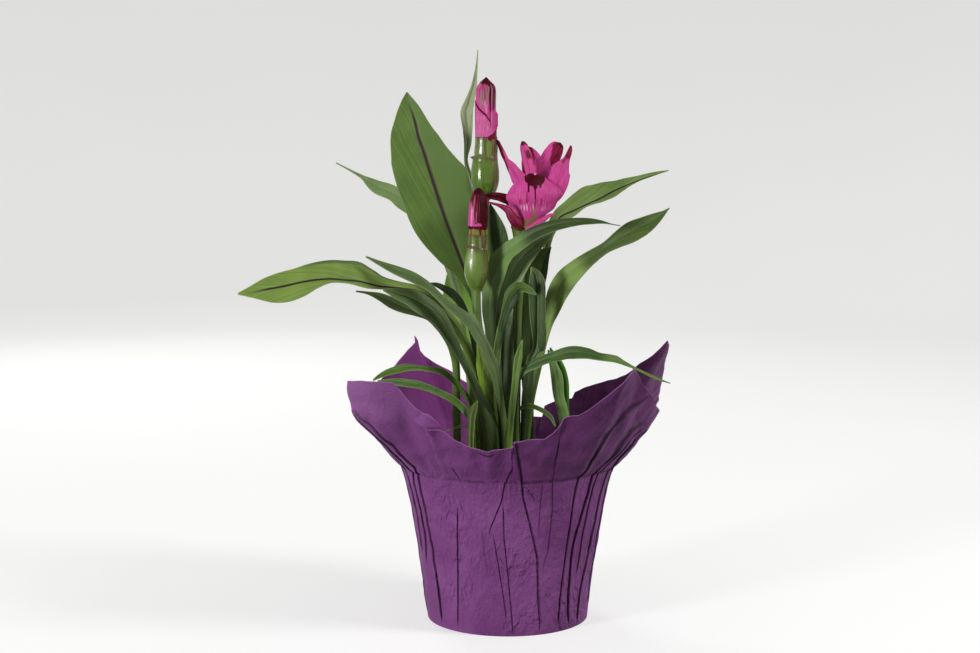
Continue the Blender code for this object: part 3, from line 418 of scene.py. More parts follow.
# Second colour of some leaves: side, from which share of the half-width, from and to which part of
# the length, colour.
ACCENTS = {
    # Painted reflection: the greyer, bluer green on the right half of leaf_tall_left stands in for light
    # reflected off it.
    "leaf_tall_left": (-1, 0.06, 0.25, 1.2, (93, 119, 62)),
    "leaf_broad_left": (-1, 0.84, 0.6, 0.83, (66, 86, 56)),
    "leaf_right_arch": (0, 0.0, 0.76, 1.1, (100, 126, 60)),
    "leaf_folded": (0, 0.0, 0.985, 1.1, (186, 184, 84)),
    # Painted shade: the very dark green on the upper right of leaf_curled, inside its curl.
    "leaf_curled": (-1, 0.1, 0.62, 0.93, (26, 42, 18)),
    # Painted light: the brighter green on the upper middle of leaf_arch_centre, where the plant shades it.
    "leaf_arch_centre": (0, 0.0, 0.53, 0.74, (118, 150, 84)),
    # Painted shade: the darker green on the lower middle of leaf_arch_back, deep in the plant.
    "leaf_arch_back": (0, 0.0, 0.3, 0.66, (58, 74, 40)),
    # Painted light: the brighter green on the lower half of leaf_right_long, where the folded leaf casts its
    # shadow.
    "leaf_right_long": (0, 0.0, 0.3, 0.71, (132, 162, 80)),
    "shoot_right": (0, 0.0, 0.45, 1.1, (60, 124, 10)),
}
NO_ACCENT = (1, 2.0, 0.0, 0.0, (0, 0, 0))
BLADE_HALF_THICKNESS, BRACT_HALF_THICKNESS = 0.3, 0.28
TIP_HALF_WIDTH = 0.35
GROOVE_DEPTH, GROOVE_WIDTH = 0.35, 0.9
# Height of the small waves near a leaf's margins, and how far each leaf's waves lag behind the last.
LEAF_RIPPLE, RIPPLE_STEP = 0.4, 0.37

# Flower stalks from the soil through the green bulb and cup: midline point with its radius.
STALKS = {
    "stalk_low_bud": (
        (-7.5, 5, 86, 2.6), (-7.5, 5, 103, 2.6), (-7.5, 5, 117, 2.6), (-11, -3, 155, 2.8),
        (-17, -12, 192, 3.0), (-21, -18, 212, 3.1), (-22, -20, 230, 3.2), (-22, -20, 235, 3.9),
        (-22, -20, 239, 6.0), (-22, -20, 246, 8.2), (-22, -20, 254, 8.3), (-21.9, -20, 260, 7.5),
        (-21.8, -20, 263.5, 6.8), (-21.5, -20, 266, 6.4), (-21.3, -20, 273, 6.8)),
    "stalk_tall_bud": (
        (-5, 13, 86, 2.6), (-5, 13, 103, 2.6), (-5, 13, 116, 2.6), (-8, 10, 189, 2.8),
        (-13, 8, 247, 3.0), (-16, 7, 292, 3.1), (-16, 6.8, 296, 3.6), (-16, 6.5, 301, 7.2),
        (-16, 6, 308, 9.5), (-16, 6, 315, 9.8), (-16, 6, 320, 9.3), (-15.8, 6, 324.6, 8.5),
        (-15.6, 6, 327, 8.1), (-15.2, 6, 334, 7.9), (-15.2, 6, 340, 7.3)),
    "stalk_bloom": (
        (6.5, 9, 86, 2.6), (6.5, 9, 103, 2.6), (6.5, 9, 117, 2.6), (7, 7, 198, 2.8), (9, 6, 245, 3.0),
        (9.5, 1, 262, 3.6), (9, -4, 271, 5.4), (9, -4, 278.5, 6.7)),
}
# Height where the bulb ends in a papery lip, where the cup above it ends in a second one, and how far
# the flap of the first lip stands out.
BULB_LIPS = {"stalk_low_bud": (263.6, 273.6, 0.4), "stalk_tall_bud": (325.2, 339.8, 3.0),
             "stalk_bloom": (277.0, 290.0, 0.2)}

BUD_BRACTS = {
    "bracts_low_bud": (
        (-21.3, -20, 270.0, 5.9), (-21.2, -20, 273.4, 6.5), (-20.9, -20, 281, 6.7),
        (-20.6, -20, 291, 6.5), (-20.4, -20, 297, 5.6), (-20.4, -20, 301, 4.1), (-20.3, -20, 303.4, 2.8),
        (-20.2, -20, 304.7, 1.5), (-20.2, -20, 305.1, 0.4)),
    "bracts_tall_bud": (
        (-15.2, 6, 337.0, 6.4), (-15.2, 6, 340.4, 7.0), (-15.4, 6, 350, 7.0), (-15.5, 6, 362, 7.1),
        (-15.4, 6, 372, 7.0), (-15.4, 6, 375.2, 6.2), (-15.4, 6, 377.2, 4.8), (-15.3, 6, 379, 2.9),
        (-15.2, 6, 380.3, 1.5), (-15.1, 6, 381.4, 0.3)),
}
# Radius at which streaks and veins are laid round the buds and the core of the open flower.
BUD_RADIUS, CORE_RADIUS = 7, 6
# Tall bud: height of the left bract's edge and of the wrapped foot at each angle in degrees.
TALL_BUD_EDGE = ((-60, 367), (0, 365), (45, 359.5), (90, 354.5), (112, 350.5), (122, 345), (150, 340),
                 (230, 340), (300, 367))
TALL_BUD_FOOT = ((90, 339), (105, 340.5), (175, 346), (230, 346), (300, 339))
# Low bud: angle up to which its pink shows at each height.
LOW_BUD_REACH = ((280, 72), (288, 66), (300, 34))
# Big lower bract: its middle, and the half-width of its maroon patch at each height.
LIP_MIDDLE = 18.6
LIP_PATCH = ((305.9, 0.0), (307.2, 4.8), (309.5, 6.9), (313, 7.2), (316, 7.2))
# Drips below that patch and smears on the pink: place and width across, height from and to, softness.
LIP_DRIPS = ((0.0, 0.6, 297, 308, 1.2), (0.0, 1.4, 304.5, 308, 1.0), (-4.6, 0.8, 302.0, 308.5, 1.0),
             (3.6, 0.8, 305, 308, 0.8))
LIP_SMEARS = ((-5.6, 1.0, 294.5, 303.5, 1.5), (-10, 1.5, 293.5, 297.5, 1), (4.2, 0.9, 292.5, 298, 1.5),
              (0.2, 0.7, 290, 298, 2))

# Tones laid over the pink of the bracts: mark on their points, where it starts and is full, how strong
# at most, screen colour. Stains have none here: they go from one maroon to another.
BRACT_TONES = (("pale", 0.3, 0.9, 0.85, (244, 184, 214)), ("green", 0.3, 0.85, 1.0, (134, 126, 58)),
               ("wine", 0.1, 0.95, 0.9, (138, 18, 54)), ("veil", 0.2, 0.95, 0.9, (162, 122, 126)),
               ("stain", 0.28, 0.72, 1.0, None))
STAIN_TONES = ((62, 2, 14), (104, 8, 30))

# Open flower head: green core, then bracts as midline with left and right half-width, foot, turn at
# foot and tip, fold, curl and kind.
BLOOM_CORE = ((9, -4, 275.0, 5.2), (9.6, -4.5, 279.0, 6.0), (12.5, -5, 285, 6.5), (15, -5, 291, 7.0),
              (17.5, -5, 298, 6.0), (18.5, -5, 305, 3.0))
BLOOM_BRACTS = (
    (((16, -12.5, 277, 13.5, 1.5), (16, -16, 281.5, 14.6, 6), (16, -18.5, 287, 16, 14),
      (16, -19.5, 292.5, 17.5, 17.8), (16, -20.5, 297, 17.6, 20.3), (16, -20.5, 301, 17.4, 21.6),
      (16, -19.5, 305, 15.8, 21.6), (16, -18, 309, 13.4, 18.6), (16, -16.5, 311.8, 10.3, 15.5),
      (16, -15, 313.6, 6.6, 12.8), (16, -14, 315, 3, 9)), 2.0, 0, 0, -6, 0.38, "lip"),
    (((10.5, -4, 307.5, 5, 5), (7.5, -3, 311.5, 5.5, 5.5), (5, -2, 315.5, 4.5, 4.5),
      (2, -1, 320, 3.5, 3.5), (-1, 0, 324, 2, 2), (-3, 1, 328, 2, 2), (-5.5, 2, 333.5, 1.5, 1.5),
      (-7, 2.5, 336.5, 1.3, 1.3), (-9, 3, 338.5, 0.4, 0.4)), 2.0, -14, -20, 16, 0.1, "spear"),
    (((17, -4, 300, 3, 3), (16.5, -3.5, 311.5, 4, 4), (15.5, -3, 315.5, 4, 4),
      (14.5, -2, 320, 4.5, 4.5), (13.5, -1, 324, 4.5, 4.5), (12.5, -0.5, 327.5, 4, 4),
      (11.5, 0, 331, 3.5, 3.5), (11, 0.5, 333.5, 3, 3), (10.5, 1, 335.5, 2, 2),
      (10, 1.5, 337, 0.6, 0.6)), 2.0, 4, 10, 24, -0.1, "finger"),
    (((20, -3, 300, 3, 3), (23, -1, 309.5, 4.5, 4.5), (25, 1, 314, 7, 6.5), (26.5, 2.5, 318.5, 8.5, 7),
      (29, 4, 322.5, 7, 7), (31, 5, 326, 7, 7), (33, 6, 329.5, 6.5, 6.5), (35, 7, 333, 5.5, 5.5),
      (36.5, 7.5, 335, 3, 4), (37, 8, 336, 0.8, 0.8)), 2.2, 8, 12, -10, 0.2, "broad"),
    (((24, -10, 291, 4, 4), (27.5, -10, 296.5, 5.5, 5.5), (30.5, -10, 300.5, 7, 7),
      (33, -9, 304.5, 7.5, 7.5), (35, -8, 309, 8, 7.5), (36, -7, 313, 7.5, 7.5), (37, -6, 317, 7, 7),
      (39, -4, 321, 4.5, 4.5), (41, -2, 325, 2.5, 2.5), (42.5, -1, 328.5, 2, 2),
      (43.5, 0, 331.5, 1.5, 1.5), (44, 0.5, 334, 0.6, 0.6)), 2.2, 10, 16, 12, 0.25, "side"),
    (((8, -8, 293, 3.5, 3.5), (4, -9, 295, 3.5, 3.5), (-2, -12, 297, 4, 4), (-7, -14, 298.5, 3.5, 3.5),
      (-11, -16, 299, 3, 3), (-14, -17, 299.5, 2, 2), (-16, -18, 300, 0.6, 0.6)),
     2.0, 20, 30, 24, 0.1, "dark"),
    (((9, -12, 276.5, 4, 4), (8, -17, 279.5, 5, 4.5), (5.5, -21, 283, 4.5, 4.5), (3, -23, 286.5, 4, 3.5),
      (0.5, -24, 290, 3, 3), (-3.5, -25, 292.5, 2, 2), (-7.5, -25.5, 294, 1.2, 1.2),
      (-11, -26, 295, 0.9, 0.9), (-14.5, -26.5, 296, 0.4, 0.4)), 2.4, 10, 20, -24, 0.2, "fold"),
    (((12.5, -13, 276.5, 2, 2), (16.5, -17, 279, 2, 2), (20.5, -20, 281.5, 2.5, 2), (24.5, -21, 284, 2, 2),
      (28.5, -21.5, 286.5, 1.3, 1.2), (32.5, -22, 287.5, 0.4, 0.4)), 2.0, -10, -20, -20, 0.2, "plain"),
    (((19, 0, 292, 2.8, 2.8), (20, 9, 304, 7.0, 7.0), (19, 14, 314, 8.6, 8.6), (17, 17, 323, 7.4, 7.4),
      (15, 20, 330, 4.0, 4.0), (14, 21, 333, 1.0, 1.0)), 2.2, 180, 180, -10, 0.2, "broad"),
)


def shade(red, green, blue):
    """A colour given as it looks on a screen, 0 to 255, in the light's own scale."""
    parts = (red / 255, green / 255, blue / 255)
    return (*(part / 12.92 if part <= 0.04045 else ((part + 0.055) / 1.055) ** 2.4 for part in parts), 1.0)


# Materials.


class Board:
    """A node tree that is filled by short calls."""

    def __init__(self, tree):
        self.tree = tree

    def node(self, kind, **settings):
        """A new node with its settings."""
        made = self.tree.nodes.new(kind)
        for key, value in settings.items():
            setattr(made, key, value)
        return made

    def put(self, socket, value):
        """Links a socket to another one, or gives it a value of its own."""
        if isinstance(value, bpy.types.NodeSocket):
            self.tree.links.new(value, socket)
        elif value is not None:
            socket.default_value = value

    def filled(self, kind, values, **settings):
        """A new node with links or values on its named inputs."""
        made = self.node(kind, **settings)
        for label, value in values.items():
            self.put(made.inputs[label], value)
        return made

    def maths(self, operation, first, second=None, third=None):
        """Result of one sum on up to three numbers."""
        made = self.node("ShaderNodeMath", operation=operation)
        for socket, value in zip(made.inputs, (first, second, third)):
            self.put(socket, value)
        return made.outputs[0]

    def times(self, first, second):
        """First times second."""
        return self.maths("MULTIPLY", first, second)

    def times_plus(self, first, second, third):
        """First times second, plus third."""
        return self.maths("MULTIPLY_ADD", first, second, third)

    def ease(self, value, low, high, start=0.0, end=1.0):
        """Goes smoothly from start to end while the value goes from low to high."""
        made = self.node("ShaderNodeMapRange", interpolation_type="SMOOTHSTEP")
        for socket, number in zip(made.inputs, (value, low, high, start, end)):
            self.put(socket, number)
        return made.outputs["Result"]

    def mix(self, share, first, second):
        """Goes from the first colour to the second with the share."""
        made = self.node("ShaderNodeMix", data_type="RGBA")
        for place, value in ((0, share), (6, first), (7, second)):
            self.put(made.inputs[place], value)
        return made.outputs[2]

    def two_tone(self, value, low, high, first, second):
        """Mix of two screen colours while the value goes from low to high."""
        return self.mix(self.ease(value, low, high), shade(*first), shade(*second))

    def tint(self, colour, mask, most, tone):
        """Lays a screen colour over another colour, at most to the given share."""
        return self.mix(self.times(mask, most), colour, shade(*tone))

    def noise(self, place, scale, detail=2.0, roughness=0.5, lines=False):
        """Cloudy noise over a place, or lines of it over a single number."""
        values = {"W" if lines else "Vector": place, "Scale": scale, "Detail": detail,
                  "Roughness": roughness}
        made = self.filled("ShaderNodeTexNoise", values, noise_dimensions="1D" if lines else "3D")
        return made.outputs["Fac"]

    def cells(self, place, scale):
        """Distance to the middle of the nearest of many small cells."""
        return self.filled("ShaderNodeTexVoronoi", {"Vector": place, "Scale": scale}).outputs["Distance"]

    def attribute(self, name):
        """A number kept on the points."""
        return self.node("ShaderNodeAttribute", attribute_name=name).outputs["Fac"]

    def place(self, stretch=(1, 1, 1)):
        """Place on the object in metres, stretched along its axes."""
        source = self.node("ShaderNodeTexCoord").outputs["Object"]
        return self.filled("ShaderNodeMapping", {"Vector": source, "Scale": stretch}).outputs["Vector"]


SOCKETS = {"value": "NodeSocketFloat", "colour": "NodeSocketColor", "vector": "NodeSocketVector"}
BLADE_INPUTS = {"Along": "value", "Offset": "value", "Half": "value", "Stem": "value", "Under": "value",
                "Run": "value", "Accent": "value", "Place": "vector", "Bright": "colour",
                "Deep": "colour", "Rib Colour": "colour", "Rib Width": "value", "Rib Show": "value",
                "Accent Colour": "colour", "Stem Colour": "colour"}
BLADE_OUTPUTS = {"Colour": "colour", "Height": "value", "Roughness": "value"}
# Numbers kept on a blade's points, by the names of the inputs that they feed.
BLADE_MARKS = ("Along", "Offset", "Half", "Stem", "Under", "Run", "Accent")


def new_group(name, inputs, outputs):
    """An empty shader group; returns its board, what it is given and where its results go."""
    tree = bpy.data.node_groups.new(name, "ShaderNodeTree")
    for sockets, way in ((inputs, "INPUT"), (outputs, "OUTPUT")):
        for label, kind in sockets.items():
            tree.interface.new_socket(name=label, in_out=way, socket_type=SOCKETS[kind])
    board = Board(tree)
    return board, board.node("NodeGroupInput").outputs, board.node("NodeGroupOutput").inputs


def new_material(name, **constants):
    """A material with its shader's own values set; returns the material, its board and its shader."""
    material = bpy.data.materials.new(name)
    material.use_nodes = True
    board = Board(material.node_tree)
    shader = material.node_tree.nodes["Principled BSDF"]
    for label, value in constants.items():
        shader.inputs[label.replace("_", " ")].default_value = value
    return material, board, shader


def dress(board, shader, colour, roughness, relief, distance, strength):
    """Joins colour, gloss and relief to a material's shader."""
    board.put(shader.inputs["Base Color"], colour)
    board.put(shader.inputs["Roughness"], roughness)
    bump = board.filled("ShaderNodeBump", {"Strength": strength, "Distance": distance, "Height": relief})
    board.put(shader.inputs["Normal"], bump.outputs["Normal"])


def rib_mask(board, given, away, inner):
    """Where the midrib shows: a line that narrows with the blade and fades at the tip."""
    width = board.times(given["Rib Width"], board.ease(given["Half"], 0.5, 9.0, 0.35, 1.0))
    rib = board.ease(board.maths("DIVIDE", away, width), 0.75, 0.3)
    rib = board.times(rib, inner)
    return board.times(rib, board.ease(given["Run"], 0.925, 0.985, 1.0, 0.0))


def margin_mask(board, given, away, inner):
    """Where the thin pale margin of a blade shows."""
    margin = board.maths("SUBTRACT", given["Half"], away)
    return board.times(board.ease(margin, 0.65, 0.15), inner)


def blade_pattern():
    """Colour, relief and gloss of a green blade: slanting veins, midrib, margin and pale back."""
    board, given, result = new_group("leaf blade", BLADE_INPUTS, BLADE_OUTPUTS)
    away = board.maths("ABSOLUTE", given["Offset"])
    slant = board.times_plus(given["Along"], -0.2, away)
    fine = board.noise(slant, 2.2, 1.0, 0.5, lines=True)
    broad = board.noise(slant, 0.55, 2.0, 0.5, lines=True)
    veins = board.times_plus(fine, 0.45, board.times(broad, 0.55))
    patches = board.noise(given["Place"], 38.0, 3.0, 0.55)
    tone = board.ease(board.times_plus(veins, 0.6, board.times(patches, 0.5)), 0.34, 0.76)
    colour = board.mix(tone, given["Deep"], given["Bright"])
    pale = board.mix(0.45, given["Bright"], PALE_GREEN)
    inner = board.maths("SUBTRACT", 1.0, given["Stem"])
    rib = rib_mask(board, given, away, inner)
    rib_share = board.times(rib, board.times_plus(given["Rib Show"], 0.7, 0.3))
    colour = board.mix(rib_share, colour, board.mix(given["Rib Show"], pale, given["Rib Colour"]))
    colour = board.mix(board.times(margin_mask(board, given, away, inner), 0.8), colour, pale)
    colour = board.mix(given["Under"], colour, board.mix(0.4, colour, pale))
    accent = board.mix(board.times(tone, 0.35), given["Accent Colour"], given["Bright"])
    colour = board.mix(given["Accent"], colour, accent)
    stalk = board.mix(board.times(tone, 0.4), given["Stem Colour"], given["Bright"])
    colour = board.mix(board.times(given["Stem"], 0.9), colour, stalk)
    board.put(result["Colour"], colour)
    board.put(result["Height"], board.times_plus(rib, -0.8, veins))
    matt = board.times_plus(given["Under"], 0.14, 0.4)
    board.put(result["Roughness"], board.times_plus(patches, 0.2, matt))
    return board.tree


def leaf_material(name, pattern):
    """The blade pattern in one leaf's own greens."""
    bright, deep, rib_width, rib_show = LEAF_FINISH[name]
    material, board, shader = new_material("finish " + name, Specular_IOR_Level=0.24)
    given = {label: board.attribute(label.lower()) for label in BLADE_MARKS}
    given.update({"Place": board.place(), "Bright": shade(*bright), "Deep": shade(*deep),
                  "Rib Colour": shade(*RIB_PURPLE), "Rib Width": rib_width, "Rib Show": rib_show,
                  "Accent Colour": shade(*ACCENTS.get(name, NO_ACCENT)[4]),
                  "Stem Colour": shade(*STEM_FINISH.get(name, STEM_GREEN))})
    made = board.filled("ShaderNodeGroup", given, node_tree=pattern).outputs
    dress(board, shader, made["Colour"], made["Roughness"], made["Height"], 0.00022, 0.7)
    return material


def paper_material():
    """Waxed crepe paper: purple, crinkled, with painted shade in its folds, on its collar and on parts of its
    inside, painted light on one corner, and pale on the cut edge.
    """
    material, board, shader = new_material("purple crepe paper", Specular_IOR_Level=0.16, Sheen_Weight=0.04)
    place = board.place()
    wide = board.noise(place, 22.0, 3.0, 0.55)
    grain = board.noise(place, 620.0, 3.0, 0.6)
    crepe = board.noise(board.place((1, 1, 4.0)), 260.0, 2.0, 0.5)
    net = board.noise(board.place((1, 1, 0.5)), 130.0, 2.0, 0.5)
    net = board.maths("ABSOLUTE", board.times_plus(net, 2.0, -1.0))
    net = board.ease(net, 0.0, 0.22, 1.0, 0.0)
    net = board.times(net, board.ease(board.noise(place, 30.0, 2.0, 0.5), 0.42, 0.7))
    on_wall = board.times_plus(board.attribute("collar"), -0.85, 1.0)
    net = board.times(net, on_wall)
    colour = board.two_tone(wide, 0.3, 0.7, (120, 60, 122), (142, 80, 145))
    colour = board.tint(colour, board.ease(grain, 0.45, 0.75), 0.2, (150, 96, 156))
    colour = board.tint(colour, net, 0.12, (84, 34, 90))
    for mark, most, tone in PAPER_TONES:
        colour = board.tint(colour, board.attribute(mark), most, tone)
    relief = board.times_plus(crepe, 0.3, board.times(grain, 0.3))
    relief = board.times_plus(net, 1.0, relief)
    lumps = board.times(board.noise(board.place((1, 1, 0.6)), 210.0, 4.0, 0.65), on_wall)
    relief = board.times_plus(lumps, 1.6, relief)
    dress(board, shader, colour, board.times_plus(grain, 0.2, 0.6), relief, 0.001, 1.0)
    return material


def stalk_material():
    """Fleshy green stalk with fine lines, a glossy bulb, a striped cup, brown papery lips and a painted
    highlight on one bulb.
    """
    material, board, shader = new_material("stalk skin", Specular_IOR_Level=0.4)
    lines = board.noise(board.place((1, 1, 0.08)), 800.0, 2.0, 0.5)
    patches = board.noise(board.place(), 55.0, 3.0, 0.5)
    bulb, cup = board.attribute("bulb"), board.attribute("cup")
    colour = board.two_tone(lines, 0.3, 0.7, (80, 104, 42), (108, 132, 60))
    glossy = board.two_tone(patches, 0.35, 0.65, (64, 98, 10), (98, 130, 36))
    colour = board.mix(board.times(bulb, 0.85), colour, glossy)
    striped = board.two_tone(lines, 0.4, 0.62, (86, 82, 34), (114, 138, 62))
    colour = board.mix(board.times(cup, 0.75), colour, striped)
    brown = board.two_tone(lines, 0.35, 0.65, (84, 48, 44), (118, 96, 56))
    colour = board.mix(board.times(board.attribute("blush"), 0.65), colour, brown)
    # Painted highlight: a pale streak on the front left of the low bud's bulb.
    colour = board.tint(colour, board.attribute("bloom"), 0.5, (214, 220, 186))
    colour = board.tint(colour, board.attribute("lip"), 0.9, (78, 50, 38))
    gloss = board.times_plus(board.maths("MAXIMUM", bulb, cup), -0.24, 0.44)
    dress(board, shader, colour, gloss, lines, 0.0002, 0.6)
    return material


def bract_material():
    """Silky pink bracts with fine lengthwise veins, maroon stains, pale flecks and a green foot."""
    material, board, shader = new_material("pink bract skin", Specular_IOR_Level=0.08, Sheen_Weight=0.0,
                                           Subsurface_Weight=0.1, Subsurface_Scale=0.002)
    flow = board.filled("ShaderNodeCombineXYZ", {"X": board.attribute("offset"),
                                                 "Y": board.times(board.attribute("along"), 0.08)})
    veins = board.noise(flow.outputs["Vector"], 1.9, 3.0, 0.6)
    patches = board.noise(board.place(), 130.0, 3.0, 0.55)
    ragged = board.times_plus(patches, 0.5, board.times(veins, 0.8))
    ragged = board.maths("SUBTRACT", ragged, 0.65)
    colour = board.two_tone(veins, 0.26, 0.74, (194, 56, 131), (224, 93, 170))
    colour = board.tint(colour, board.ease(patches, 0.45, 0.7), 0.35, (198, 54, 128))
    maroon = board.two_tone(patches, 0.4, 0.85, *STAIN_TONES)
    for mark, low, high, most, tone in BRACT_TONES:
        share = board.times_plus(ragged, 0.55, board.attribute(mark))
        share = board.times(board.ease(share, low, high), most)
        colour = board.mix(share, colour, shade(*tone) if tone else maroon)
    dress(board, shader, colour, board.times_plus(patches, 0.2, 0.36), veins, 0.0003, 0.7)
    return material


def pot_material():
    """Thin black moulded plastic, dusty and scuffed."""
    material, board, shader = new_material("black moulded plastic", Specular_IOR_Level=0.45)
    dust = board.ease(board.noise(board.place(), 90.0, 4.0, 0.6), 0.45, 0.75)
    colour = board.mix(board.times(dust, 0.4), shade(26, 26, 28), shade(84, 74, 64))
    scuffs = board.noise(board.place((1, 1, 3)), 400.0, 2.0, 0.5)
    dress(board, shader, colour, board.times_plus(dust, 0.35, 0.4), scuffs, 0.0002, 0.4)
    return material


def soil_material():
    """Peat with bark, dark and damp, with paler crumbs."""
    material, board, shader = new_material("peat", Specular_IOR_Level=0.3)
    place = board.place()
    crumbs = board.cells(place, 330.0)
    colour = board.two_tone(board.noise(place, 110.0, 4.0, 0.6), 0.3, 0.7, (44, 30, 22), (92, 66, 46))
    bark = board.ease(board.noise(place, 260.0, 1.0, 0.5), 0.62, 0.7)
    colour = board.mix(bark, colour, shade(134, 100, 66))
    dress(board, shader, colour, board.times_plus(crumbs, 0.2, 0.8), crumbs, 0.0015, 0.8)
    return material


def studio_material():
    """Plain pale floor with a faint glow of its own."""
    material, board, shader = new_material("studio white", Roughness=0.9, Specular_IOR_Level=0.1,
                                           Emission_Color=shade(241, 241, 240), Emission_Strength=0.6)
    tone = board.noise(board.place(), 3.0, 2.0, 0.5)
    board.put(shader.inputs["Base Color"], board.mix(tone, shade(186, 186, 185), shade(192, 192, 191)))
    return material


# Shapes.


def ease(x, low, high):
    """Zero below low, one above high, smooth between them."""
    s = np.clip((x - low) / (high - low), 0, 1)
    return s * s * (3 - 2 * s)


def band(values, low, high, soft):
    """One between two limits, falling softly to nothing outside them."""
    return ease(values, low - soft, low + soft) * (1 - ease(values, high - soft, high + soft))


def hump(values, centre, width):
    """One at the centre, falling away on both sides."""
    return np.exp(-((values - centre) / width) ** 2)


def streaks(side, height, wide, long, seed):
    """Lengthwise streaks, about -1 to 1, over a surface measured in millimetres."""
    places = np.stack([side / wide, height / long], axis=-1).reshape(-1, 2)
    values = [noise.noise(Vector((a, b, seed))) for a, b in places.tolist()]
    return 1.5 * np.array(values).reshape(side.shape)


def path_lengths(points):
    """How far along a path each of its points lies."""
    steps = np.linalg.norm(np.diff(points[:, :3], axis=0), axis=1)
    return np.concatenate([[0], np.cumsum(steps)])


def spread(points, count):
    """Even points along a smooth curve through the given ones; extra numbers ride along."""
    knots = np.array(points, dtype=float)
    knots = np.vstack([2 * knots[0] - knots[1], knots, 2 * knots[-1] - knots[-2]])
    dense = []
    for before, start, end, after in zip(knots, knots[1:], knots[2:], knots[3:]):
        for t in np.arange(CURVE_STEPS) / CURVE_STEPS:
            dense.append(0.5 * (2 * start + (end - before) * t
                                + (2 * before - 5 * start + 4 * end - after) * t * t
                                + (3 * start - before - 3 * end + after) * t ** 3))
    dense.append(knots[-2])
    dense = np.array(dense)
    lengths = path_lengths(dense)
    goals = np.linspace(0, lengths[-1], count)
    return np.stack([np.interp(goals, lengths, dense[:, k]) for k in range(dense.shape[1])], axis=1)


def frame_along(path):
    """Unit vectors across a path and towards the front, at each of its points."""
    along = np.gradient(path[:, :3], axis=0)
    along /= np.linalg.norm(along, axis=1)[:, None]
    across = np.cross(along, (0.0, 1.0, 0.0))
    across /= np.linalg.norm(across, axis=1)[:, None]
    return across, np.cross(along, across)


def across_share(columns):
    """Places across a blade from -1 to 1, closer together towards its margins."""
    crowded = np.sin(np.linspace(-0.5, 0.5, columns + 1) * math.pi)[None, :]
    even = np.linspace(-1, 1, columns + 1)[None, :]
    return crowded * MARGIN_CROWDING + even * (1 - MARGIN_CROWDING)


def stem_share(t, start):
    """One on the round stem of a blade, falling to nothing where the blade has opened."""
    s = np.clip((t - start * 0.8) / max(0.12, (1 - start) * 0.35), 0, 1)
    return 1 - s * s * (3 - 2 * s)


def blade_lift(t, u, width, opened, shape, ripple, seed):
    """How far fold, curl, edge waves and groove lift a blade off its flat middle."""
    _, _, _, _, fold, curl, wave = shape
    bow = opened * u * u
    lift = np.abs(u) * width * np.sin(np.radians(fold) * opened) - curl * width * bow
    lift = lift + wave * bow * np.sin(2 * math.pi * 1.6 * t + 2 * u)
    lift = lift + ripple * bow * np.sin(2 * math.pi * (4.3 * t + seed) + 3 * u) * np.sin(math.pi * t)
    return lift - opened * GROOVE_DEPTH * hump(u * width, 0, GROOVE_WIDTH)


def blade_grid(midline, shape, rows, columns, thickness=BLADE_HALF_THICKNESS, ripple=0.0, seed=0.0):
    """Upper and lower side of a blade with its marks, as grids of rows by columns."""
    foot, start, turn_foot, turn_tip, fold, _, _ = shape
    path = spread(midline, rows)
    across, front = frame_along(path)
    t = np.linspace(0, 1, rows)[:, None]
    u = across_share(columns)
    turn = np.radians(turn_foot + (turn_tip - turn_foot) * t)
    side = across * np.cos(turn) + front * np.sin(turn)
    up = front * np.cos(turn) - across * np.sin(turn)
    stem = stem_share(t, start)
    width = np.maximum(TIP_HALF_WIDTH, np.where(u > 0, path[:, 3:4], path[:, 4:5]))
    reach = u * width * np.cos(np.radians(fold) * (1 - stem))
    lift = blade_lift(t, u, width, 1 - stem, shape, ripple, seed)
    middle = path[:, None, :3] + side[:, None, :] * reach[..., None] + up[:, None, :] * lift[..., None]
    round_half = foot * np.maximum(0.12, 0.95 * np.sqrt(np.maximum(0, 1 - u * u)))
    thin = thickness * (1 - 0.7 * u ** 4)
    step = up[:, None, :] * (thin + stem * (round_half - thin))[..., None]
    marks = {"along": path_lengths(path)[:, None] + 0 * u, "offset": u * width, "half": width,
             "stem": stem + 0 * u, "share": u + 0 * t, "run": t + 0 * u}
    return middle + step, middle - step, marks


def new_object(name, data):
    """A new object in the scene."""
    item = bpy.data.objects.new(name, data)
    bpy.context.scene.collection.objects.link(item)
    return item


def add_mesh(name, points, faces, material, marks=None, sharp=SHARP_ANGLE):
    """One object from points in millimetres; marks are numbers kept on the points."""
    mesh = bpy.data.meshes.new(name)
    mesh.from_pydata((np.asarray(points) * MM).tolist(), [], faces)
    for label, values in (marks or {}).items():
        layer = mesh.attributes.new(label, "FLOAT", "POINT")
        layer.data.foreach_set("value", np.asarray(values, dtype=np.float32).ravel())
    work = bmesh.new()
    work.from_mesh(mesh)
    bmesh.ops.recalc_face_normals(work, faces=work.faces)
    if work.calc_volume(signed=True) < 0:
        bmesh.ops.reverse_faces(work, faces=work.faces)
    work.to_mesh(mesh)
    work.free()
    mesh.shade_smooth()
    mesh.set_sharp_from_angle(angle=math.radians(sharp))
    mesh.materials.append(material)
    return new_object(name, mesh)


def grid_faces(rows, columns, start=0, flip=False, ring=False):
    """Faces of a grid of points; a ring joins its last column to its first."""
    faces = []
    for i in range(rows - 1):
        for j in range(columns if ring else columns - 1):
            k = (j + 1) % columns
            a, b = start + i * columns + j, start + i * columns + k
            c, d = b + columns, a + columns
            faces.append((a, d, c, b) if flip else (a, b, c, d))
    return faces


def disc_faces(rings, sides):
    """Faces of a disc: a fan round its first point, then one ring of points outside the other."""
    fan = [(0, 1 + j, 1 + (j + 1) % sides) for j in range(sides)]
    return fan + grid_faces(rings, sides, start=1, flip=True, ring=True)


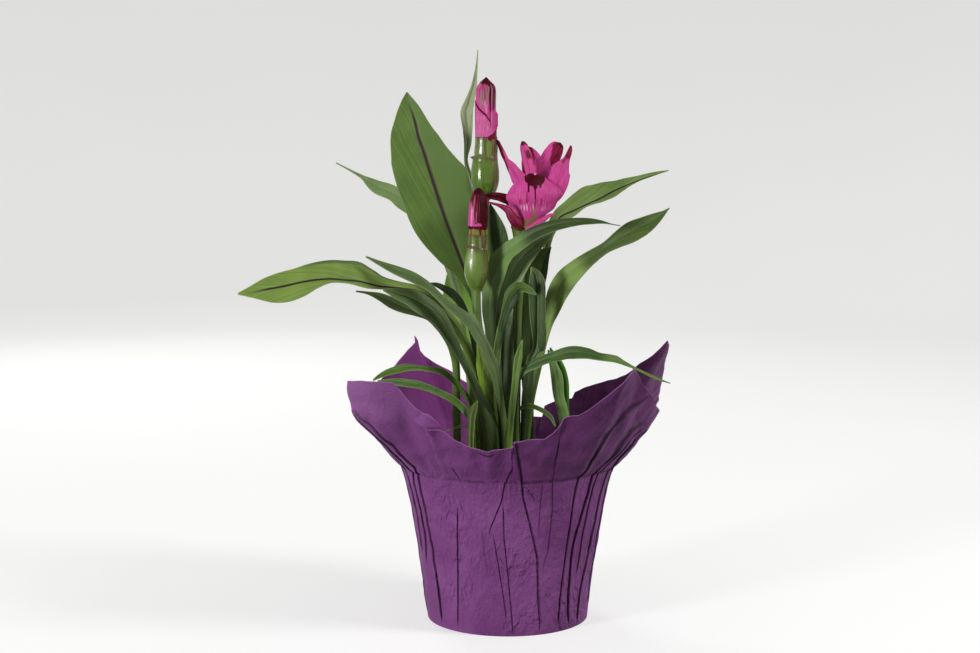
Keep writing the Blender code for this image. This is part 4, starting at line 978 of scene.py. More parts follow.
def closed_blade(upper, lower, marks):
    """Points, faces and marks of a blade closed round its edge."""
    rows, columns = upper.shape[:2]
    count = rows * columns
    points = np.concatenate([upper.reshape(-1, 3), lower.reshape(-1, 3)])
    faces = grid_faces(rows, columns) + grid_faces(rows, columns, count, flip=True)
    for i in range(rows - 1):
        a, b = i * columns, (i + 1) * columns
        faces.append((a, b, b + count, a + count))
        a, b = a + columns - 1, b + columns - 1
        faces.append((a, a + count, b + count, b))
    for start, turned in ((0, False), ((rows - 1) * columns, True)):
        for j in range(columns - 1):
            a, b = start + j, start + j + 1
            faces.append((a, b, b + count, a + count) if turned else (a, a + count, b + count, b))
    both = {label: np.concatenate([grid.ravel()] * 2) for label, grid in marks.items()}
    both["under"] = np.concatenate([np.zeros(count), np.ones(count)])
    return points, faces, both


def tube_grid(rings, sides):
    """Middles of the rings round a path, the directions round them and their angles."""
    across, front = frame_along(rings)
    angle = np.arange(sides) / sides * 2 * math.pi
    around = (across[:, None, :] * np.cos(angle)[None, :, None]
              + front[:, None, :] * np.sin(angle)[None, :, None])
    return rings[:, None, :3], around, angle


def closed_tube(grid, marks):
    """Points, faces and marks of rings of points, closed at both ends."""
    rows, sides = grid.shape[:2]
    faces = grid_faces(rows, sides, ring=True)
    faces.append(tuple(reversed(range(sides))))
    faces.append(tuple(range((rows - 1) * sides, rows * sides)))
    return grid.reshape(-1, 3), faces, {label: values.ravel() for label, values in marks.items()}


def join_parts(parts):
    """Several closed bodies as one set of points, faces and marks; a mark that one lacks is zero."""
    points, faces, marks, shift = [], [], {}, 0
    labels = sorted({label for part in parts for label in part[2]})
    for part_points, part_faces, part_marks in parts:
        points.append(part_points)
        faces += [tuple(k + shift for k in face) for face in part_faces]
        for label in labels:
            empty = np.zeros(len(part_points))
            marks.setdefault(label, []).append(part_marks.get(label, empty))
        shift += len(part_points)
    return np.concatenate(points), faces, {label: np.concatenate(v) for label, v in marks.items()}


def settle(item, slot_name, *nodes):
    """Hangs a finished piece on the body it rides on and hides the nodes it stands for; the name of its
    finish is not used.
    """
    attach(item, BODY)
    if nodes:
        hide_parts(*nodes)


# Leaves.


def accent_share(marks, accent):
    """Where a leaf has its second colour: on one side of the midrib and along a part of its length."""
    side, from_share, from_run, to_run, _ = accent
    share = marks["share"] * side if side else 1 + 0 * marks["share"]
    along = ease(marks["run"], from_run - 0.02, from_run + 0.03)
    along = along * (1 - ease(marks["run"], to_run - 0.03, to_run + 0.02))
    return ease(share, from_share - 0.04, from_share + 0.04) * along


def make_leaf(name, pattern, seed):
    """A leaf or young shoot from its foot in the soil to its tip, with its rolled part if it has one."""
    midline, *shape = LEAVES[name]
    x, y, _, left, right = midline[0]
    stem = ((x, y, SOIL_TOP - FOOT_DEPTH, left, right), (x, y, SOIL_TOP + FOOT_RISE, left, right))
    young = name in YOUNG
    rows, columns = YOUNG_GRID if young else LEAF_GRID
    ripple = 0.0 if young else LEAF_RIPPLE
    upper, lower, marks = blade_grid(stem + midline, shape, rows, columns, ripple=ripple, seed=seed)
    marks["accent"] = accent_share(marks, ACCENTS.get(name, NO_ACCENT))
    parts = [closed_blade(upper, lower, marks)]
    if name in FLAPS:
        midline, *shape = FLAPS[name]
        parts.append(closed_blade(*blade_grid(midline, shape, *FLAP_GRID)))
    points, faces, marks = join_parts(parts)
    item = add_mesh(name + "_fine", points, faces, leaf_material(name, pattern), marks)
    settle(item, "young_leaf" if young else "leaf", name)


# Flower stalks and heads. Angles round a stalk are 0 at the left, 90 in front and 180 at the right.


def make_stalk(name, material):
    """A stalk with its bulb, the cup above it and the papery lip of each."""
    rings = spread(STALKS[name], STALK_GRID[0])
    centre, around, angle = tube_grid(rings, STALK_GRID[1])
    z, turn = rings[:, 2][:, None], np.degrees(angle)[None, :]
    bulb_lip, cup_lip, flap = BULB_LIPS[name]
    line = bulb_lip + 0.5 * np.cos(np.radians(turn - 40))
    point = hump(turn, 8, 16) + hump(turn, 368, 16)
    flare = (0.5 + flap * point) * hump(z - line, -0.2, 0.6) + 0.4 * hump(z, cup_lip, 0.7)
    bulb = ease(z, bulb_lip - 30, bulb_lip - 22) * (1 - ease(z, bulb_lip - 0.5, bulb_lip + 0.5)) + 0 * turn
    cup = ease(z, bulb_lip, bulb_lip + 1) + 0 * turn
    sheath = np.maximum.reduce([bulb * (0.85 * band(turn, 124, 250, 14) + 0.6 * hump(turn, 128, 4)),
                                0.7 * bulb * ease(z, bulb_lip - 4, bulb_lip),
                                cup * 1.3 * band(turn, 118, 262, 14),
                                cup * 0.8 * ease(z, cup_lip - 4, cup_lip - 1)])
    ribs = 1 + 0.01 * np.sin(9 * angle)[None, :] * (1 - bulb)
    radius = rings[:, 3][:, None] * ribs + flare + 0.25 * sheath
    lips = np.maximum(hump(z, line, 0.55), hump(z, cup_lip, 0.6))
    # Painted highlight: the bloom mark is a pale streak on the front left of the low bud's bulb.
    marks = {"lip": np.maximum(lips, flap * 0.25 * point * hump(z, line, 1.2)),
             "bulb": bulb, "cup": cup, "blush": sheath,
             "bloom": bulb * hump(turn, 62, 20) * hump(z, bulb_lip - 7, 6) * (name == "stalk_low_bud")}
    points, faces, marks = closed_tube(centre + around * radius[..., None], marks)
    settle(add_mesh(name + "_fine", points, faces, material, marks), "stalk", name)


def tall_bud_marks(turn, z, t):
    """Bract edges and colours of the tall bud, and how far its bracts stand out."""
    side = np.radians(turn) * BUD_RADIUS
    rag, fine = streaks(side, z, 1.0, 9.0, 2.0), streaks(side, z, 0.45, 12.0, 5.0)
    edge = np.interp(turn, *zip(*TALL_BUD_EDGE))
    left = ease(edge - z, -0.25, 0.25)
    bulge = hump(turn, 178, 24) * band(z, 346, 357, 1.6)
    foot = np.interp(turn, *zip(*TALL_BUD_FOOT))
    wrap = ease(foot - z, -0.25, 0.25) * band(turn, 96, 290, 5)
    # Painted shadow: a dark line just above the edge of the left bract.
    line = hump(z, edge + 0.5, 1.0) * ease(turn, -30, 0) * (1 - ease(turn, 112, 122))
    stripe = (hump(turn, 117, 6.5) * band(z, 357, 379, 3) * (1.0 + 0.5 * fine)
              + hump(turn, 145, 13) * band(z, 358, 376, 4) * (0.9 + 0.6 * fine)
              + hump(turn, 70, 4) * band(z, 368.5, 373.5, 1.5) * 0.5)
    seam = hump(turn, 116, 4) * band(z, 346, 359, 2) * 0.9
    tip = ease(z + 2.0 * rag - 1.5 * hump(turn, 35, 30), 373.5, 377.5)
    shadow = hump(turn, 4, 9) * band(z, 342, 364, 9) * left
    top = (1 - left) * band(turn, 48, 166, 12) * band(z + 3 * rag, 362, 380, 5)
    rim = hump(turn, 25, 14) * band(z, 371, 378, 2) * 0.7
    pale = (hump(turn, 70, 12) * band(z, 362, 375, 4) + hump(turn, 92, 11) * band(z, 355, 367, 3)
            + hump(turn, 126, 5) * band(z, 344, 358, 3)) * (1 - left)
    fold = hump(z, foot - 0.5, 0.6) * band(turn, 100, 215, 6)
    marks = {"stain": np.maximum.reduce([tip, stripe, line * 0.9, 0.8 * shadow, 0.9 * fold, 0.5 * wrap]),
             "wine": np.maximum.reduce([line, seam, bulge * 0.75, 0.95 * wrap, shadow, rim,
                                        top * (0.6 + 0.6 * fine)]),
             "veil": np.maximum(top * (0.7 + 0.9 * rag), 0.4 * wrap * hump(turn, 150, 18)),
             "pale": pale * (0.7 + 0.5 * fine) + 0.45 * left}
    relief = 0.5 * left + 1.6 * bulge + 0.55 * wrap - 0.3 * hump(turn, 117, 4) * band(z, 348, 375, 3)
    return marks, relief * (1 - ease(t, 0.85, 1.0))


def low_bud_marks(turn, z, t):
    """Bract edges and colours of the low bud, and how far its bracts stand out."""
    side = np.radians(turn) * BUD_RADIUS
    rag, fine = streaks(side, z, 1.0, 9.0, 3.0), streaks(side, z, 0.45, 12.0, 6.0)
    stripes = streaks(side, z, 2.4, 7.0, 9.0)
    right = band(turn, 98, 262, 3)
    slit = hump(turn, 76, 5)
    low = 1 - ease(z, 278.2, 279.2)
    cup = 1 - ease(z + 0.5 * rag, 276.4, 277.4)
    reach = np.interp(z, *zip(*LOW_BUD_REACH))
    pink = ease(turn, -34, -26) * (1 - ease(turn, reach - 4, reach + 4))
    pink = pink * (1 - ease(z + 1.5 * rag, 289.5, 299.0)) * (1 - low)
    lip = band(turn, -10, 112, 6) * band(z + 0.8 * fine, 279.0, 280.8, 0.5)
    cream = hump(turn, 80, 4) * band(z, 281, 289, 1.5) + hump(turn, 62, 5) * band(z, 289, 300, 2)
    shown = np.maximum(pink, lip)
    stain = np.maximum.reduce([(1 - shown) * (0.6 + 0.35 * rag), right * (1 - lip) * 0.95,
                               slit * 0.9 * (1 - lip), 1.2 * low, ease(z, 299, 302)])
    stain = stain * (1 - 0.9 * np.minimum(1, cream)) * (1 - cup) + cup * (0.36 + 0.5 * stripes)
    marks = {"stain": stain, "wine": (1 - shown) * 0.9 * (1 - cup), "green": cup,
             "veil": 0.8 * cream * (1 + 0.3 * fine) + 0.9 * cup * np.maximum(0, -stripes),
             "pale": hump(turn, 48, 12) * shown * 0.7 + hump(turn, 62, 4) * band(z, 289, 300, 2)}
    return marks, (0.45 * right - 0.2 * slit - 0.3 * low) * (1 - ease(t, 0.85, 1.0))


def make_bud(name, find_marks, material):
    """A closed bud of wrapped bracts."""
    rings = spread(BUD_BRACTS[name], BUD_GRID[0])
    centre, around, angle = tube_grid(rings, BUD_GRID[1])
    t = np.linspace(0, 1, len(rings))[:, None]
    z = rings[:, 2][:, None] + 0 * angle[None, :]
    turn = (np.degrees(angle) + 60) % 360 - 60 + 0 * t
    marks, relief = find_marks(turn, z, t)
    marks.update({"offset": np.radians(turn) * BUD_RADIUS, "along": z})
    folds = 0.02 * np.cos(3 * angle[None, :] + 3.5 * t) + 0.008 * np.cos(13 * angle[None, :] + 2 * t)
    radius = rings[:, 3][:, None] * (1 + folds) + relief
    points, faces, marks = closed_tube(centre + around * radius[..., None], marks)
    settle(add_mesh(name + "_fine", points, faces, material, marks), "bract", name)


def lip_paint(x, z, u):
    """Maroon patch with its drips, pale flecks and green foot of the big lower bract."""
    rag, fine = streaks(x, z, 1.3, 5.0, 1.0), streaks(x, z, 0.7, 6.0, 4.0)
    side = x - LIP_MIDDLE
    half = np.interp(z + 1.1 * fine, *zip(*LIP_PATCH))
    patch = ease(half - np.abs(side + 0.2), -0.5, 0.5)
    notch = hump(side, 0.0, 1.0) * ease(z, 313.0, 314.6)
    drips = sum(hump(side, at, wide) * band(z, low, high, soft) for at, wide, low, high, soft in LIP_DRIPS)
    smears = sum(hump(side, at, wide) * band(z, low, high, soft) for at, wide, low, high, soft in LIP_SMEARS)
    rim = ease(np.abs(u), 0.84, 0.96) * band(z, 309.5, 316, 0.8)
    flecks = band(side, -11.5, 8.0, 2.0) * band(z + rag, 288.5, 295.5, 1.5) * (0.4 + 0.9 * fine + 0.5 * rag)
    olive = (hump(side + 0.12 * (294 - z), 0.0, 2.4) * band(z, 281, 293.5, 3.0)
             + (1 - ease(z + 2.5 * rag, 280.5, 286.0)))
    shadow = (0.4 * ease(-u, 0.72, 0.97) * band(z, 288, 306, 3)
              + 0.3 * ease(u, 0.8, 0.98) * band(z, 286, 300, 3))
    dark = np.maximum.reduce([patch, drips, rim * 0.8 * (u < 0)])
    return {"stain": dark * (1 - notch) + 1 - ease(z, 277, 278),
            "wine": np.maximum.reduce([0.75 * smears * (1 + 0.4 * fine), rim, shadow]),
            "pale": np.maximum(0.75 * flecks, 1.2 * notch), "green": 0.68 * olive}


def spear_paint(t, u, fine):
    """Narrow bract towards the upper left: maroon along one edge, wine red at the tip."""
    border = np.interp(t, (0.3, 0.45, 0.62, 0.85, 1), (0.95, 0.6, 0.1, -0.35, -1.0))
    return {"stain": ease(u - border + 0.2 * fine, -0.12, 0.14) * ease(t, 0.3, 0.4),
            "wine": ease(t, 0.6, 0.85),
            "pale": hump(u, -0.2, 0.35) * band(t, 0.1, 0.55, 0.1) * 0.4}


def finger_paint(t, u, fine):
    """Upright bract with a maroon spot, tip and edge."""
    spot = np.exp(-((u + 0.42) / 0.42) ** 4 - ((t - 0.735) / 0.09) ** 4)
    edge = ease(u, 0.66, 0.92) * ease(t, 0.74, 0.86)
    dark = np.maximum.reduce([ease(t + 0.03 * fine, 0.9, 0.94), spot, edge])
    return {"stain": dark * (0.58 + 0.3 * fine),
            "wine": np.maximum.reduce([1.2 * dark, ease(-u, 0.6, 0.92) * band(t, 0.5, 0.72, 0.05),
                                       0.7 * ease(u, 0.75, 0.96)]),
            "pale": hump(u, 0.25, 0.3) * band(t, 0.2, 0.88, 0.08) * 0.35}


def broad_paint(t, u, fine):
    """Broad bract with a large wine red patch below its tip."""
    border = np.interp(t, (0.55, 0.66, 0.82, 0.95), (-0.3, 0.1, 0.42, 0.85))
    patch = ease(border - u + 0.1 * fine, -0.07, 0.09)
    patch = patch * ease(t + 0.04 * fine, 0.57, 0.62) * ease(u, -1.0, -0.88)
    return {"stain": patch * (0.42 + 0.3 * fine) + 0.9 * ease(t, 0.94, 0.98), "wine": patch}


def side_paint(t, u, fine):
    """Bract at the right with a maroon tip and a groove."""
    streak = hump(u, 0.45, 0.3) * band(t, 0.7, 0.8, 0.03)
    dark = np.maximum(ease(t + 0.02 * fine, 0.78, 0.83), 0.9 * streak)
    groove = hump(u, np.interp(t, (0.4, 0.68), (0.05, -0.4)), 0.12) * band(t, 0.36, 0.7, 0.05)
    return {"stain": dark * (0.4 + 0.3 * fine),
            "wine": np.maximum.reduce([1.2 * dark, 0.5 * groove, 0.45 * (1 - ease(t, 0.2, 0.45))]),
            "pale": hump(u, 0.1, 0.35) * band(t, 0.45, 0.75, 0.08) * 0.3}


def dark_paint(t, u, fine):
    """Maroon bract that reaches out to the left."""
    return {"stain": 0.75 + 0.3 * fine, "wine": 1 + 0 * fine}


def fold_paint(t, u, fine):
    """Folded bract at the foot, wine red with a pale edge, a veiled middle and a green foot."""
    line = np.maximum(ease(u, 0.8, 0.95), 0.8 * hump(u, -0.55, 0.16))
    return {"stain": line * ease(t, 0.15, 0.3), "wine": 0.8 + 0.3 * fine,
            "pale": ease(-u, 0.78, 0.92) + 0.7 * hump(u, -0.25, 0.12),
            "veil": 0.35 * ease(t, 0.1, 0.4) * (1 - ease(t, 0.6, 0.8)),
            "green": 0.9 * (1 - ease(t, 0.05, 0.35))}


def plain_paint(t, u, fine):
    """Small bract at the foot, redder along one edge."""
    return {"wine": 0.5 * ease(u, 0.2, 0.8)}


BRACT_PAINTS = {"spear": spear_paint, "finger": finger_paint, "broad": broad_paint, "side": side_paint,
                "dark": dark_paint, "fold": fold_paint, "plain": plain_paint}


def bract_paint(kind, marks, upper):
    """Where a bract is maroon, wine red, pale, green and veiled."""
    if kind == "lip":
        return lip_paint(upper[..., 0], upper[..., 2], marks["share"])
    fine = streaks(marks["offset"], marks["along"], 0.7, 6.0, 7.0)
    return BRACT_PAINTS[kind](marks["run"], marks["share"], fine)


def bloom_core():
    """Green core of the open flower, which turns wine red upwards."""
    rings = spread(BLOOM_CORE, CORE_GRID[0])
    centre, around, angle = tube_grid(rings, CORE_GRID[1])
    grid = centre + around * rings[:, 3][:, None, None]
    z = grid[..., 2]
    return closed_tube(grid, {"green": 1 - ease(z, 282, 295), "wine": 0.5 * ease(z, 284, 300),
                              "offset": CORE_RADIUS * angle + 0 * z, "along": z})


def make_bloom(material):
    """The open flower: its core and its bracts, each painted by its kind."""
    parts = [bloom_core()]
    for midline, foot, turn_foot, turn_tip, fold, curl, kind in BLOOM_BRACTS:
        shape = (foot, BRACT_START, turn_foot, turn_tip, fold, curl, 0.0)
        rows, columns = LIP_GRID if kind == "lip" else BRACT_GRID
        upper, lower, marks = blade_grid(midline, shape, rows, columns, BRACT_HALF_THICKNESS)
        marks.update(bract_paint(kind, marks, upper))
        parts.append(closed_blade(upper, lower, marks))
    points, faces, marks = join_parts(parts)
    settle(add_mesh("bracts_open_bloom_fine", points, faces, material, marks), "bract", "bracts_open_bloom")


# Paper cover.


def back_pleats():
    """Pleats of the half that the photograph doesn't show, by the rule of the front."""
    pleats = []
    for number, angle in enumerate(BACK_PLEAT_ANGLES):
        swing = 3.0 * math.sin(2.4 * number + 0.7)
        low = 0.02 if number % 3 else 0.35
        high = 1.95 if number % 2 else 1.02
        depth = 1.1 + 0.8 * abs(math.sin(1.7 * number + 0.3))
        line = ((0, angle - swing), (0.6, angle + 0.3 * swing), (1, angle), (2, angle + 0.5 * swing))
        pleats.append((line, (low, high), depth, 1 if number % 2 else -1, 1.3))
    return pleats


def pleat_columns(rows):
    """All pleats, the angles of their lines and the angle of each column in each row."""
    pleats = sorted(list(FRONT_PLEATS) + back_pleats(), key=lambda pleat: pleat[0][0][1])
    lines = [np.interp(rows, *zip(*pleat[0])) for pleat in pleats]
    lines.append(lines[0] + 360)
    columns = []
    for here, there in zip(lines, lines[1:]):
        wide = float(np.max(there - here))
        count = max(LEAST_COLUMNS, min(MOST_COLUMNS, int(wide * COLUMNS_PER_DEGREE)))
        for k in range(count):
            share = 0.5 - 0.5 * math.cos(math.pi * k / count)
            columns.append(here + (there - here) * share)
    return pleats, lines, np.array(columns).T


def pleat_relief(pleats, lines, rows, angles, radius):
    """Relief of all pleats, and how deep in a fold each point lies, which the paper shows as painted shade.
    """
    xs, ys = zip(*PLEAT_PROFILE)
    relief = np.zeros_like(angles)
    crease = np.zeros_like(angles)
    for (_, (low, high), depth, side, gape), centre in zip(pleats, lines):
        shown = ease(rows, low - 0.02, low + 0.06) * (1 - ease(rows, high - 0.06, high + 0.02))
        away = (angles - centre[:, None] + 180) % 360 - 180
        wide = 1 + (gape - 1) * ease(rows, 1.08, 1.4)
        distance = np.radians(away) * radius * side / wide[:, None]
        relief += np.interp(distance, xs, ys) * (shown * depth)[:, None]
        fold = hump(distance, 0.3, 0.34) * min(1.0, 0.5 + 0.4 * depth)
        crease = np.maximum(crease, fold * shown[:, None])
    return relief, crease


def crumple(points, scale, seed):
    """Soft dents, about -1 to 1, as wide as the scale."""
    flat = points.reshape(-1, 3)
    values = [noise.noise(Vector(p) / scale + Vector((seed, 0, 0))) for p in flat.tolist()]
    return np.array(values).reshape(points.shape[:-1])


def wall_radius(heights):
    """Radius of the cover's wall at each height."""
    knots = spread([(z, 0, r) for z, r in WALL], WALL_KNOTS)
    return np.interp(heights, knots[:, 0], knots[:, 2])


def cover_rows():
    """Rows of the cover from its foot (0) over its neck (1) to its rim (2)."""
    wall = np.linspace(0, 1, WALL_ROWS) ** 0.92
    collar = 1 + np.linspace(0, 1, COLLAR_ROWS + 1)[1:] ** 1.05
    return np.unique(np.concatenate([wall, FINE_ROWS, collar]))


def cover_sheet(rows, angles):
    """Radius and height of the cover's outside before its pleats."""
    turned = np.mod(angles, 360)
    rim = RIM + ((RIM[0][0] + 360, RIM[0][1], RIM[0][2]),)
    at, wide, high = (np.array(column, dtype=float) for column in zip(*rim))
    rim_radius = np.interp(turned, at, wide)
    rim_height = np.interp(turned, at, high)
    v = np.clip(rows - 1, 0, 1)[:, None]
    wall = np.clip(rows, 0, 1)[:, None]
    upright = hump(turned, *UPRIGHT_CORNER) * np.interp(v, *zip(*UPRIGHT_CURVE))
    flare = NECK_RADIUS + (rim_radius - NECK_RADIUS) * (v ** FLARE_POWER + upright)
    radius = np.where(v > 0, flare, wall_radius(wall * NECK_HEIGHT))
    height = np.where(v > 0, NECK_HEIGHT + (rim_height - NECK_HEIGHT) * v, wall * NECK_HEIGHT)
    return radius + 0.3 * hump(rows[:, None], 1.03, 0.05), height


def to_points(radius, height, angles):
    """Points from radius, height and angle."""
    turn = np.radians(angles)
    return np.stack([radius * np.cos(turn), radius * np.sin(turn), height + 0 * radius], axis=-1)


def sheet_normals(points):
    """Unit vectors that stand on a sheet of points closed to a ring."""
    up = np.gradient(points, axis=0)
    level = np.roll(points, -1, axis=1) - np.roll(points, 1, axis=1)
    normal = np.cross(level, up)
    return normal / np.maximum(1e-9, np.linalg.norm(normal, axis=-1))[..., None]


def neck_line(rows, angles):
    """Crease round the neck, deeper in some places than in others: a groove with painted shade in it."""
    return hump(rows, 0.993, 0.009)[:, None] * np.interp(np.mod(angles, 360), *zip(*NECK_CREASE))


def tab_line(angles, height):
    """Crease under the folded tab at the rim: a shallow groove with a painted shadow in it."""
    start, end, below = RIM_TAB
    return hump(height, height[-1] - below, 0.55) * band(np.mod(angles, 360), start, end, 0.3)


def paper_sides(rows, base, relief):
    """Outside and inside of the sheet with its pleats and crumples."""
    v = np.clip(rows - 1, 0, 1)[:, None]
    soft = crumple(base, 17.0, 3.0) * (0.5 + 1.6 * v) + crumple(base, 6.0, 9.0) * 0.35
    soft = soft + crumple(base * (1, 1, 0.25), 8.0, 5.0) * 1.9 * np.sqrt(v)
    fixed = ease(rows, 0.0, 0.08)[:, None]
    outer = base + sheet_normals(base) * ((relief * (1 - 0.3 * v) + soft) * fixed)[..., None]
    thick = PAPER_WALL + (PAPER_RIM - PAPER_WALL) * v
    inner = outer - sheet_normals(outer) * thick[..., None]
    inner[0, :, :2] = outer[0, :, :2] * 0.985
    inner[0, :, 2] = PAPER_WALL
    return outer, inner


def cover_faces(rows, sides):
    """Faces of the outside and inside of the cover, its rim and the two sides of its bottom."""
    total = rows * sides
    faces = grid_faces(rows, sides, ring=True) + grid_faces(rows, sides, total, flip=True, ring=True)
    top = (rows - 1) * sides
    for j in range(sides):
        k = (j + 1) % sides
        faces.append((top + j, top + k, total + top + k, total + top + j))
    faces.append(tuple(reversed(range(sides))))
    faces.append(tuple(range(total, total + sides)))
    return faces


def cover_marks(rows, angles, crease):
    """Where the paper is creased and cut, where shade and light are painted on it, and where it is part of
    the collar, outside and then inside.
    """
    v = np.clip(rows - 1, 0, 1)[:, None]
    turned = np.mod(angles + 90, 360) - 90
    on_collar = ease(rows, 1.0, 1.1)[:, None]
    nothing, full = 0 * angles, 1 + 0 * angles
    edge = (rows > EDGE_ROW)[:, None] + nothing
    # Painted light: a paler patch on the corner that stands upright at the front left, outside and inside.
    worn = hump(turned, 219, 12) * ease(v, 0.35, 0.8)
    # Painted shade: a dark patch on the front right of the collar's outside, and a dark inside at the right
    # and the back.
    sides = {"crease": (crease, crease * 0.4), "edge": (edge, edge), "inside": (nothing, full),
             "gloom": (0.4 * band(turned, -76, -42, 12) * on_collar, band(turned, -20, 104, 8) * on_collar),
             "worn": (worn, worn), "collar": (ease(v + nothing, 0.0, 0.15), full)}
    return {label: np.concatenate([outside.ravel(), inside.ravel()])
            for label, (outside, inside) in sides.items()}


def rim_flap():
    """The torn tip that stands off the rim."""
    upper, lower, marks = blade_grid(*RIM_FLAP, *RIM_FLAP_GRID, thickness=FLAP_HALF_THICKNESS)
    share = marks["share"]
    return closed_blade(upper, lower, {"edge": ease(share, 0.8, 1.0), "collar": 1 + 0 * share})


def make_cover(material):
    """The square sheet of paper round the pot, pressed into a cup with a collar."""
    rows = cover_rows()
    pleats, lines, angles = pleat_columns(rows)
    radius, height = cover_sheet(rows, angles)
    relief, crease = pleat_relief(pleats, lines, rows, angles, radius)
    neck, tab = neck_line(rows, angles), tab_line(angles, height)
    crease = np.maximum.reduce([crease, 0.75 * neck, tab])
    relief = relief - 0.4 * neck - 0.5 * tab
    outer, inner = paper_sides(rows, to_points(radius, height, angles), relief)
    points = np.concatenate([outer.reshape(-1, 3), inner.reshape(-1, 3)])
    sheet = (points, cover_faces(*angles.shape), cover_marks(rows, angles, crease))
    points, faces, marks = join_parts([sheet, rim_flap()])
    item = add_mesh("paper_cover_fine", points, faces, material, marks, sharp=PAPER_SHARP_ANGLE)
    settle(item, "paper", "paper_cover")


# Soil.


def crumb_tree(material):
    """Geometry nodes that strew crumbs over a bed of soil."""
    tree = bpy.data.node_groups.new("soil crumbs", "GeometryNodeTree")
    tree.interface.new_socket(name="Bed", in_out="INPUT", socket_type="NodeSocketGeometry")
    for label, value in CRUMBS.items():
        kind = "NodeSocketInt" if isinstance(value, int) else "NodeSocketFloat"
        tree.interface.new_socket(name=label, in_out="INPUT", socket_type=kind)
    tree.interface.new_socket(name="Soil", in_out="OUTPUT", socket_type="NodeSocketGeometry")
    board = Board(tree)
    given = board.node("NodeGroupInput").outputs
    scatter = board.filled("GeometryNodeDistributePointsOnFaces", {
        "Mesh": given["Bed"], "Density": given["Crumbs per Square Metre"], "Seed": given["Seed"]})
    crumb = board.filled("GeometryNodeMeshIcoSphere", {"Subdivisions": 1, "Radius": given["Crumb Size"]})
    turn = board.filled("FunctionNodeRandomValue", {"Max": CRUMB_TURN}, data_type="FLOAT_VECTOR")
    size = board.filled("FunctionNodeRandomValue", {"Min": CRUMB_LEAST, "Max": CRUMB_MOST},
                        data_type="FLOAT_VECTOR")
    place = board.filled("GeometryNodeInstanceOnPoints", {
        "Points": scatter.outputs["Points"], "Instance": crumb.outputs["Mesh"],
        "Rotation": turn.outputs["Value"], "Scale": size.outputs["Value"]})
    real = board.filled("GeometryNodeRealizeInstances", {"Geometry": place.outputs["Instances"]})
    finish = board.filled("GeometryNodeSetMaterial", {
        "Material": material, "Geometry": real.outputs["Geometry"]})
    board.put(board.node("NodeGroupOutput").inputs["Soil"], finish.outputs["Geometry"])
    return tree


def soil_surface():
    """Points on the lumpy top of the soil in millimetres, from its middle outwards."""
    points = [(0, 0, SOIL_TOP + 0.5)]
    for ring in range(1, SOIL_RINGS + 1):
        share = ring / SOIL_RINGS
        for j in range(SOIL_SIDES):
            turn = 2 * math.pi * (j + 0.5 * (ring % 2)) / SOIL_SIDES
            x, y = SOIL_EDGE * share * math.cos(turn), SOIL_EDGE * share * math.sin(turn)
            lump = 1.5 * noise.noise(Vector((x, y, 0)) / 9) + 0.8 * noise.noise(Vector((x, y, 5)) / 3.5)
            points.append((x, y, SOIL_TOP + (0.7 + lump) * (1 - share ** 6) - 1.6 * share ** 4))
    return points


def strew_crumbs(bed, material):
    """Crumbs over the bed as an object of their own; the bed itself goes."""
    change = bed.modifiers.new("crumbs", "NODES")
    change.node_group = crumb_tree(material)
    for socket in change.node_group.interface.items_tree:
        if socket.name in CRUMBS:
            change[socket.identifier] = CRUMBS[socket.name]
    view = bpy.context.evaluated_depsgraph_get()
    strewn = bpy.data.meshes.new_from_object(bed.evaluated_get(view))
    bpy.data.objects.remove(bed, do_unlink=True)
    strewn.name = "soil_crumbs"
    return new_object("soil_crumbs", strewn)


def make_soil(material):
    """The soil in the pot and the loose crumbs on it."""
    points, faces = soil_surface(), disc_faces(SOIL_RINGS, SOIL_SIDES)
    count, edge = len(points), len(points) - SOIL_SIDES
    low = [(x * SOIL_TAPER, y * SOIL_TAPER, SOIL_TOP - SOIL_DEPTH) for x, y, _ in points[edge:]]
    closing = grid_faces(2, SOIL_SIDES, start=edge, flip=True, ring=True)
    closing.append(tuple(range(count + SOIL_SIDES - 1, count - 1, -1)))
    body = add_mesh("soil_fine", points + low, faces + closing, material)
    crumbs = strew_crumbs(add_mesh("crumb_bed", points, faces, material), material)
    settle(body, "soil", "soil")
    settle(crumbs, "soil")


# Studio.


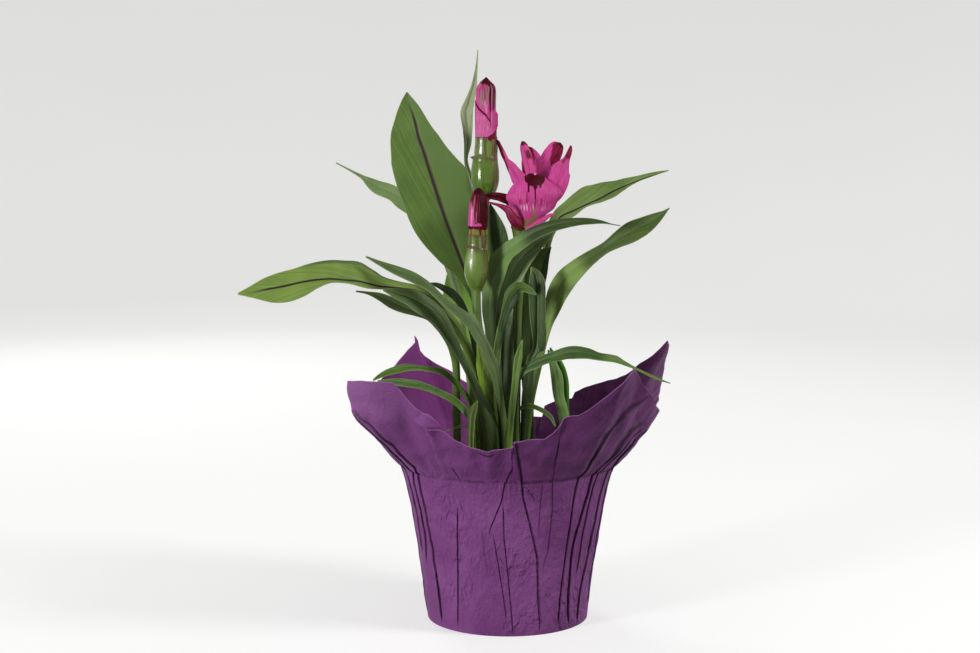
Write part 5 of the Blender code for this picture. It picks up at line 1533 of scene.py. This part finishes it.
def make_floor(material):
    """A round pale floor that turns up into a wall far behind."""
    profile = [(FLOOR_RADIUS, 0.0)]
    for k in range(1, BEND_STEPS + 1):
        turn = 0.5 * math.pi * k / BEND_STEPS
        profile.append((FLOOR_RADIUS + FLOOR_BEND * math.sin(turn), FLOOR_BEND - FLOOR_BEND * math.cos(turn)))
    profile.append((FLOOR_RADIUS + FLOOR_BEND, FLOOR_WALL))
    points = [(0, 0, 0)]
    for radius, height in profile:
        for j in range(FLOOR_SIDES):
            turn = 2 * math.pi * j / FLOOR_SIDES
            points.append((radius * math.cos(turn), radius * math.sin(turn), height))
    mesh = bpy.data.meshes.new("studio_floor")
    mesh.from_pydata(points, [], disc_faces(len(profile), FLOOR_SIDES))
    mesh.shade_smooth()
    mesh.materials.append(material)
    item = new_object("studio_floor", mesh)
    item.visible_diffuse = False


def add_lamp(name, place, size, power):
    """A round lamp that shines on the plant."""
    data = bpy.data.lights.new(name, "AREA")
    data.shape = "DISK"
    data.size = size
    data.energy = power
    lamp = new_object(name, data)
    lamp.location = place
    lamp.rotation_euler = (Vector(LAMP_TARGET) - Vector(place)).to_track_quat("-Z", "Y").to_euler()
    lamp.visible_camera = False


def studio_air():
    """Soft light from above and all round, little of it from below."""
    world = bpy.data.worlds.new("studio air")
    bpy.context.scene.world = world
    world.use_nodes = True
    board = Board(world.node_tree)
    height = board.node("ShaderNodeSeparateXYZ")
    board.put(height.inputs[0], board.node("ShaderNodeTexCoord").outputs["Generated"])
    tone = board.two_tone(height.outputs["Z"], -0.35, 0.5, (92, 84, 80), (240, 240, 240))
    back = world.node_tree.nodes["Background"]
    board.put(back.inputs["Color"], tone)
    board.put(back.inputs["Strength"], AIR_STRENGTH)


def make_camera():
    """The camera in the place that the photograph was taken from."""
    data = bpy.data.cameras.new("camera")
    data.sensor_width = SENSOR_WIDTH
    data.lens = CAMERA_LENS
    camera = new_object("camera", data)
    camera.location = CAMERA_PLACE
    camera.rotation_euler = (math.radians(90 - CAMERA_DOWN), 0, 0)
    bpy.context.scene.camera = camera
    bpy.context.scene.view_settings.view_transform = "Standard"


def make_studio():
    """Floor, lamps, air and camera."""
    make_floor(studio_material())
    for name, (place, size, power) in LAMPS.items():
        add_lamp(name, place, size, power)
    studio_air()
    make_camera()


def main():
    """Builds the studio and then the plant, piece by piece."""
    make_studio()
    make_cover(paper_material())
    pattern = blade_pattern()
    for number, name in enumerate(LEAVES):
        make_leaf(name, pattern, RIPPLE_STEP * number)
    stalk = stalk_material()
    for name in STALKS:
        make_stalk(name, stalk)
    pink = bract_material()
    make_bud("bracts_low_bud", low_bud_marks, pink)
    make_bud("bracts_tall_bud", tall_bud_marks, pink)
    make_bloom(pink)
    make_soil(soil_material())
    for slot in bpy.data.objects["nursery_pot"].material_slots:
        slot.material = pot_material()


main()
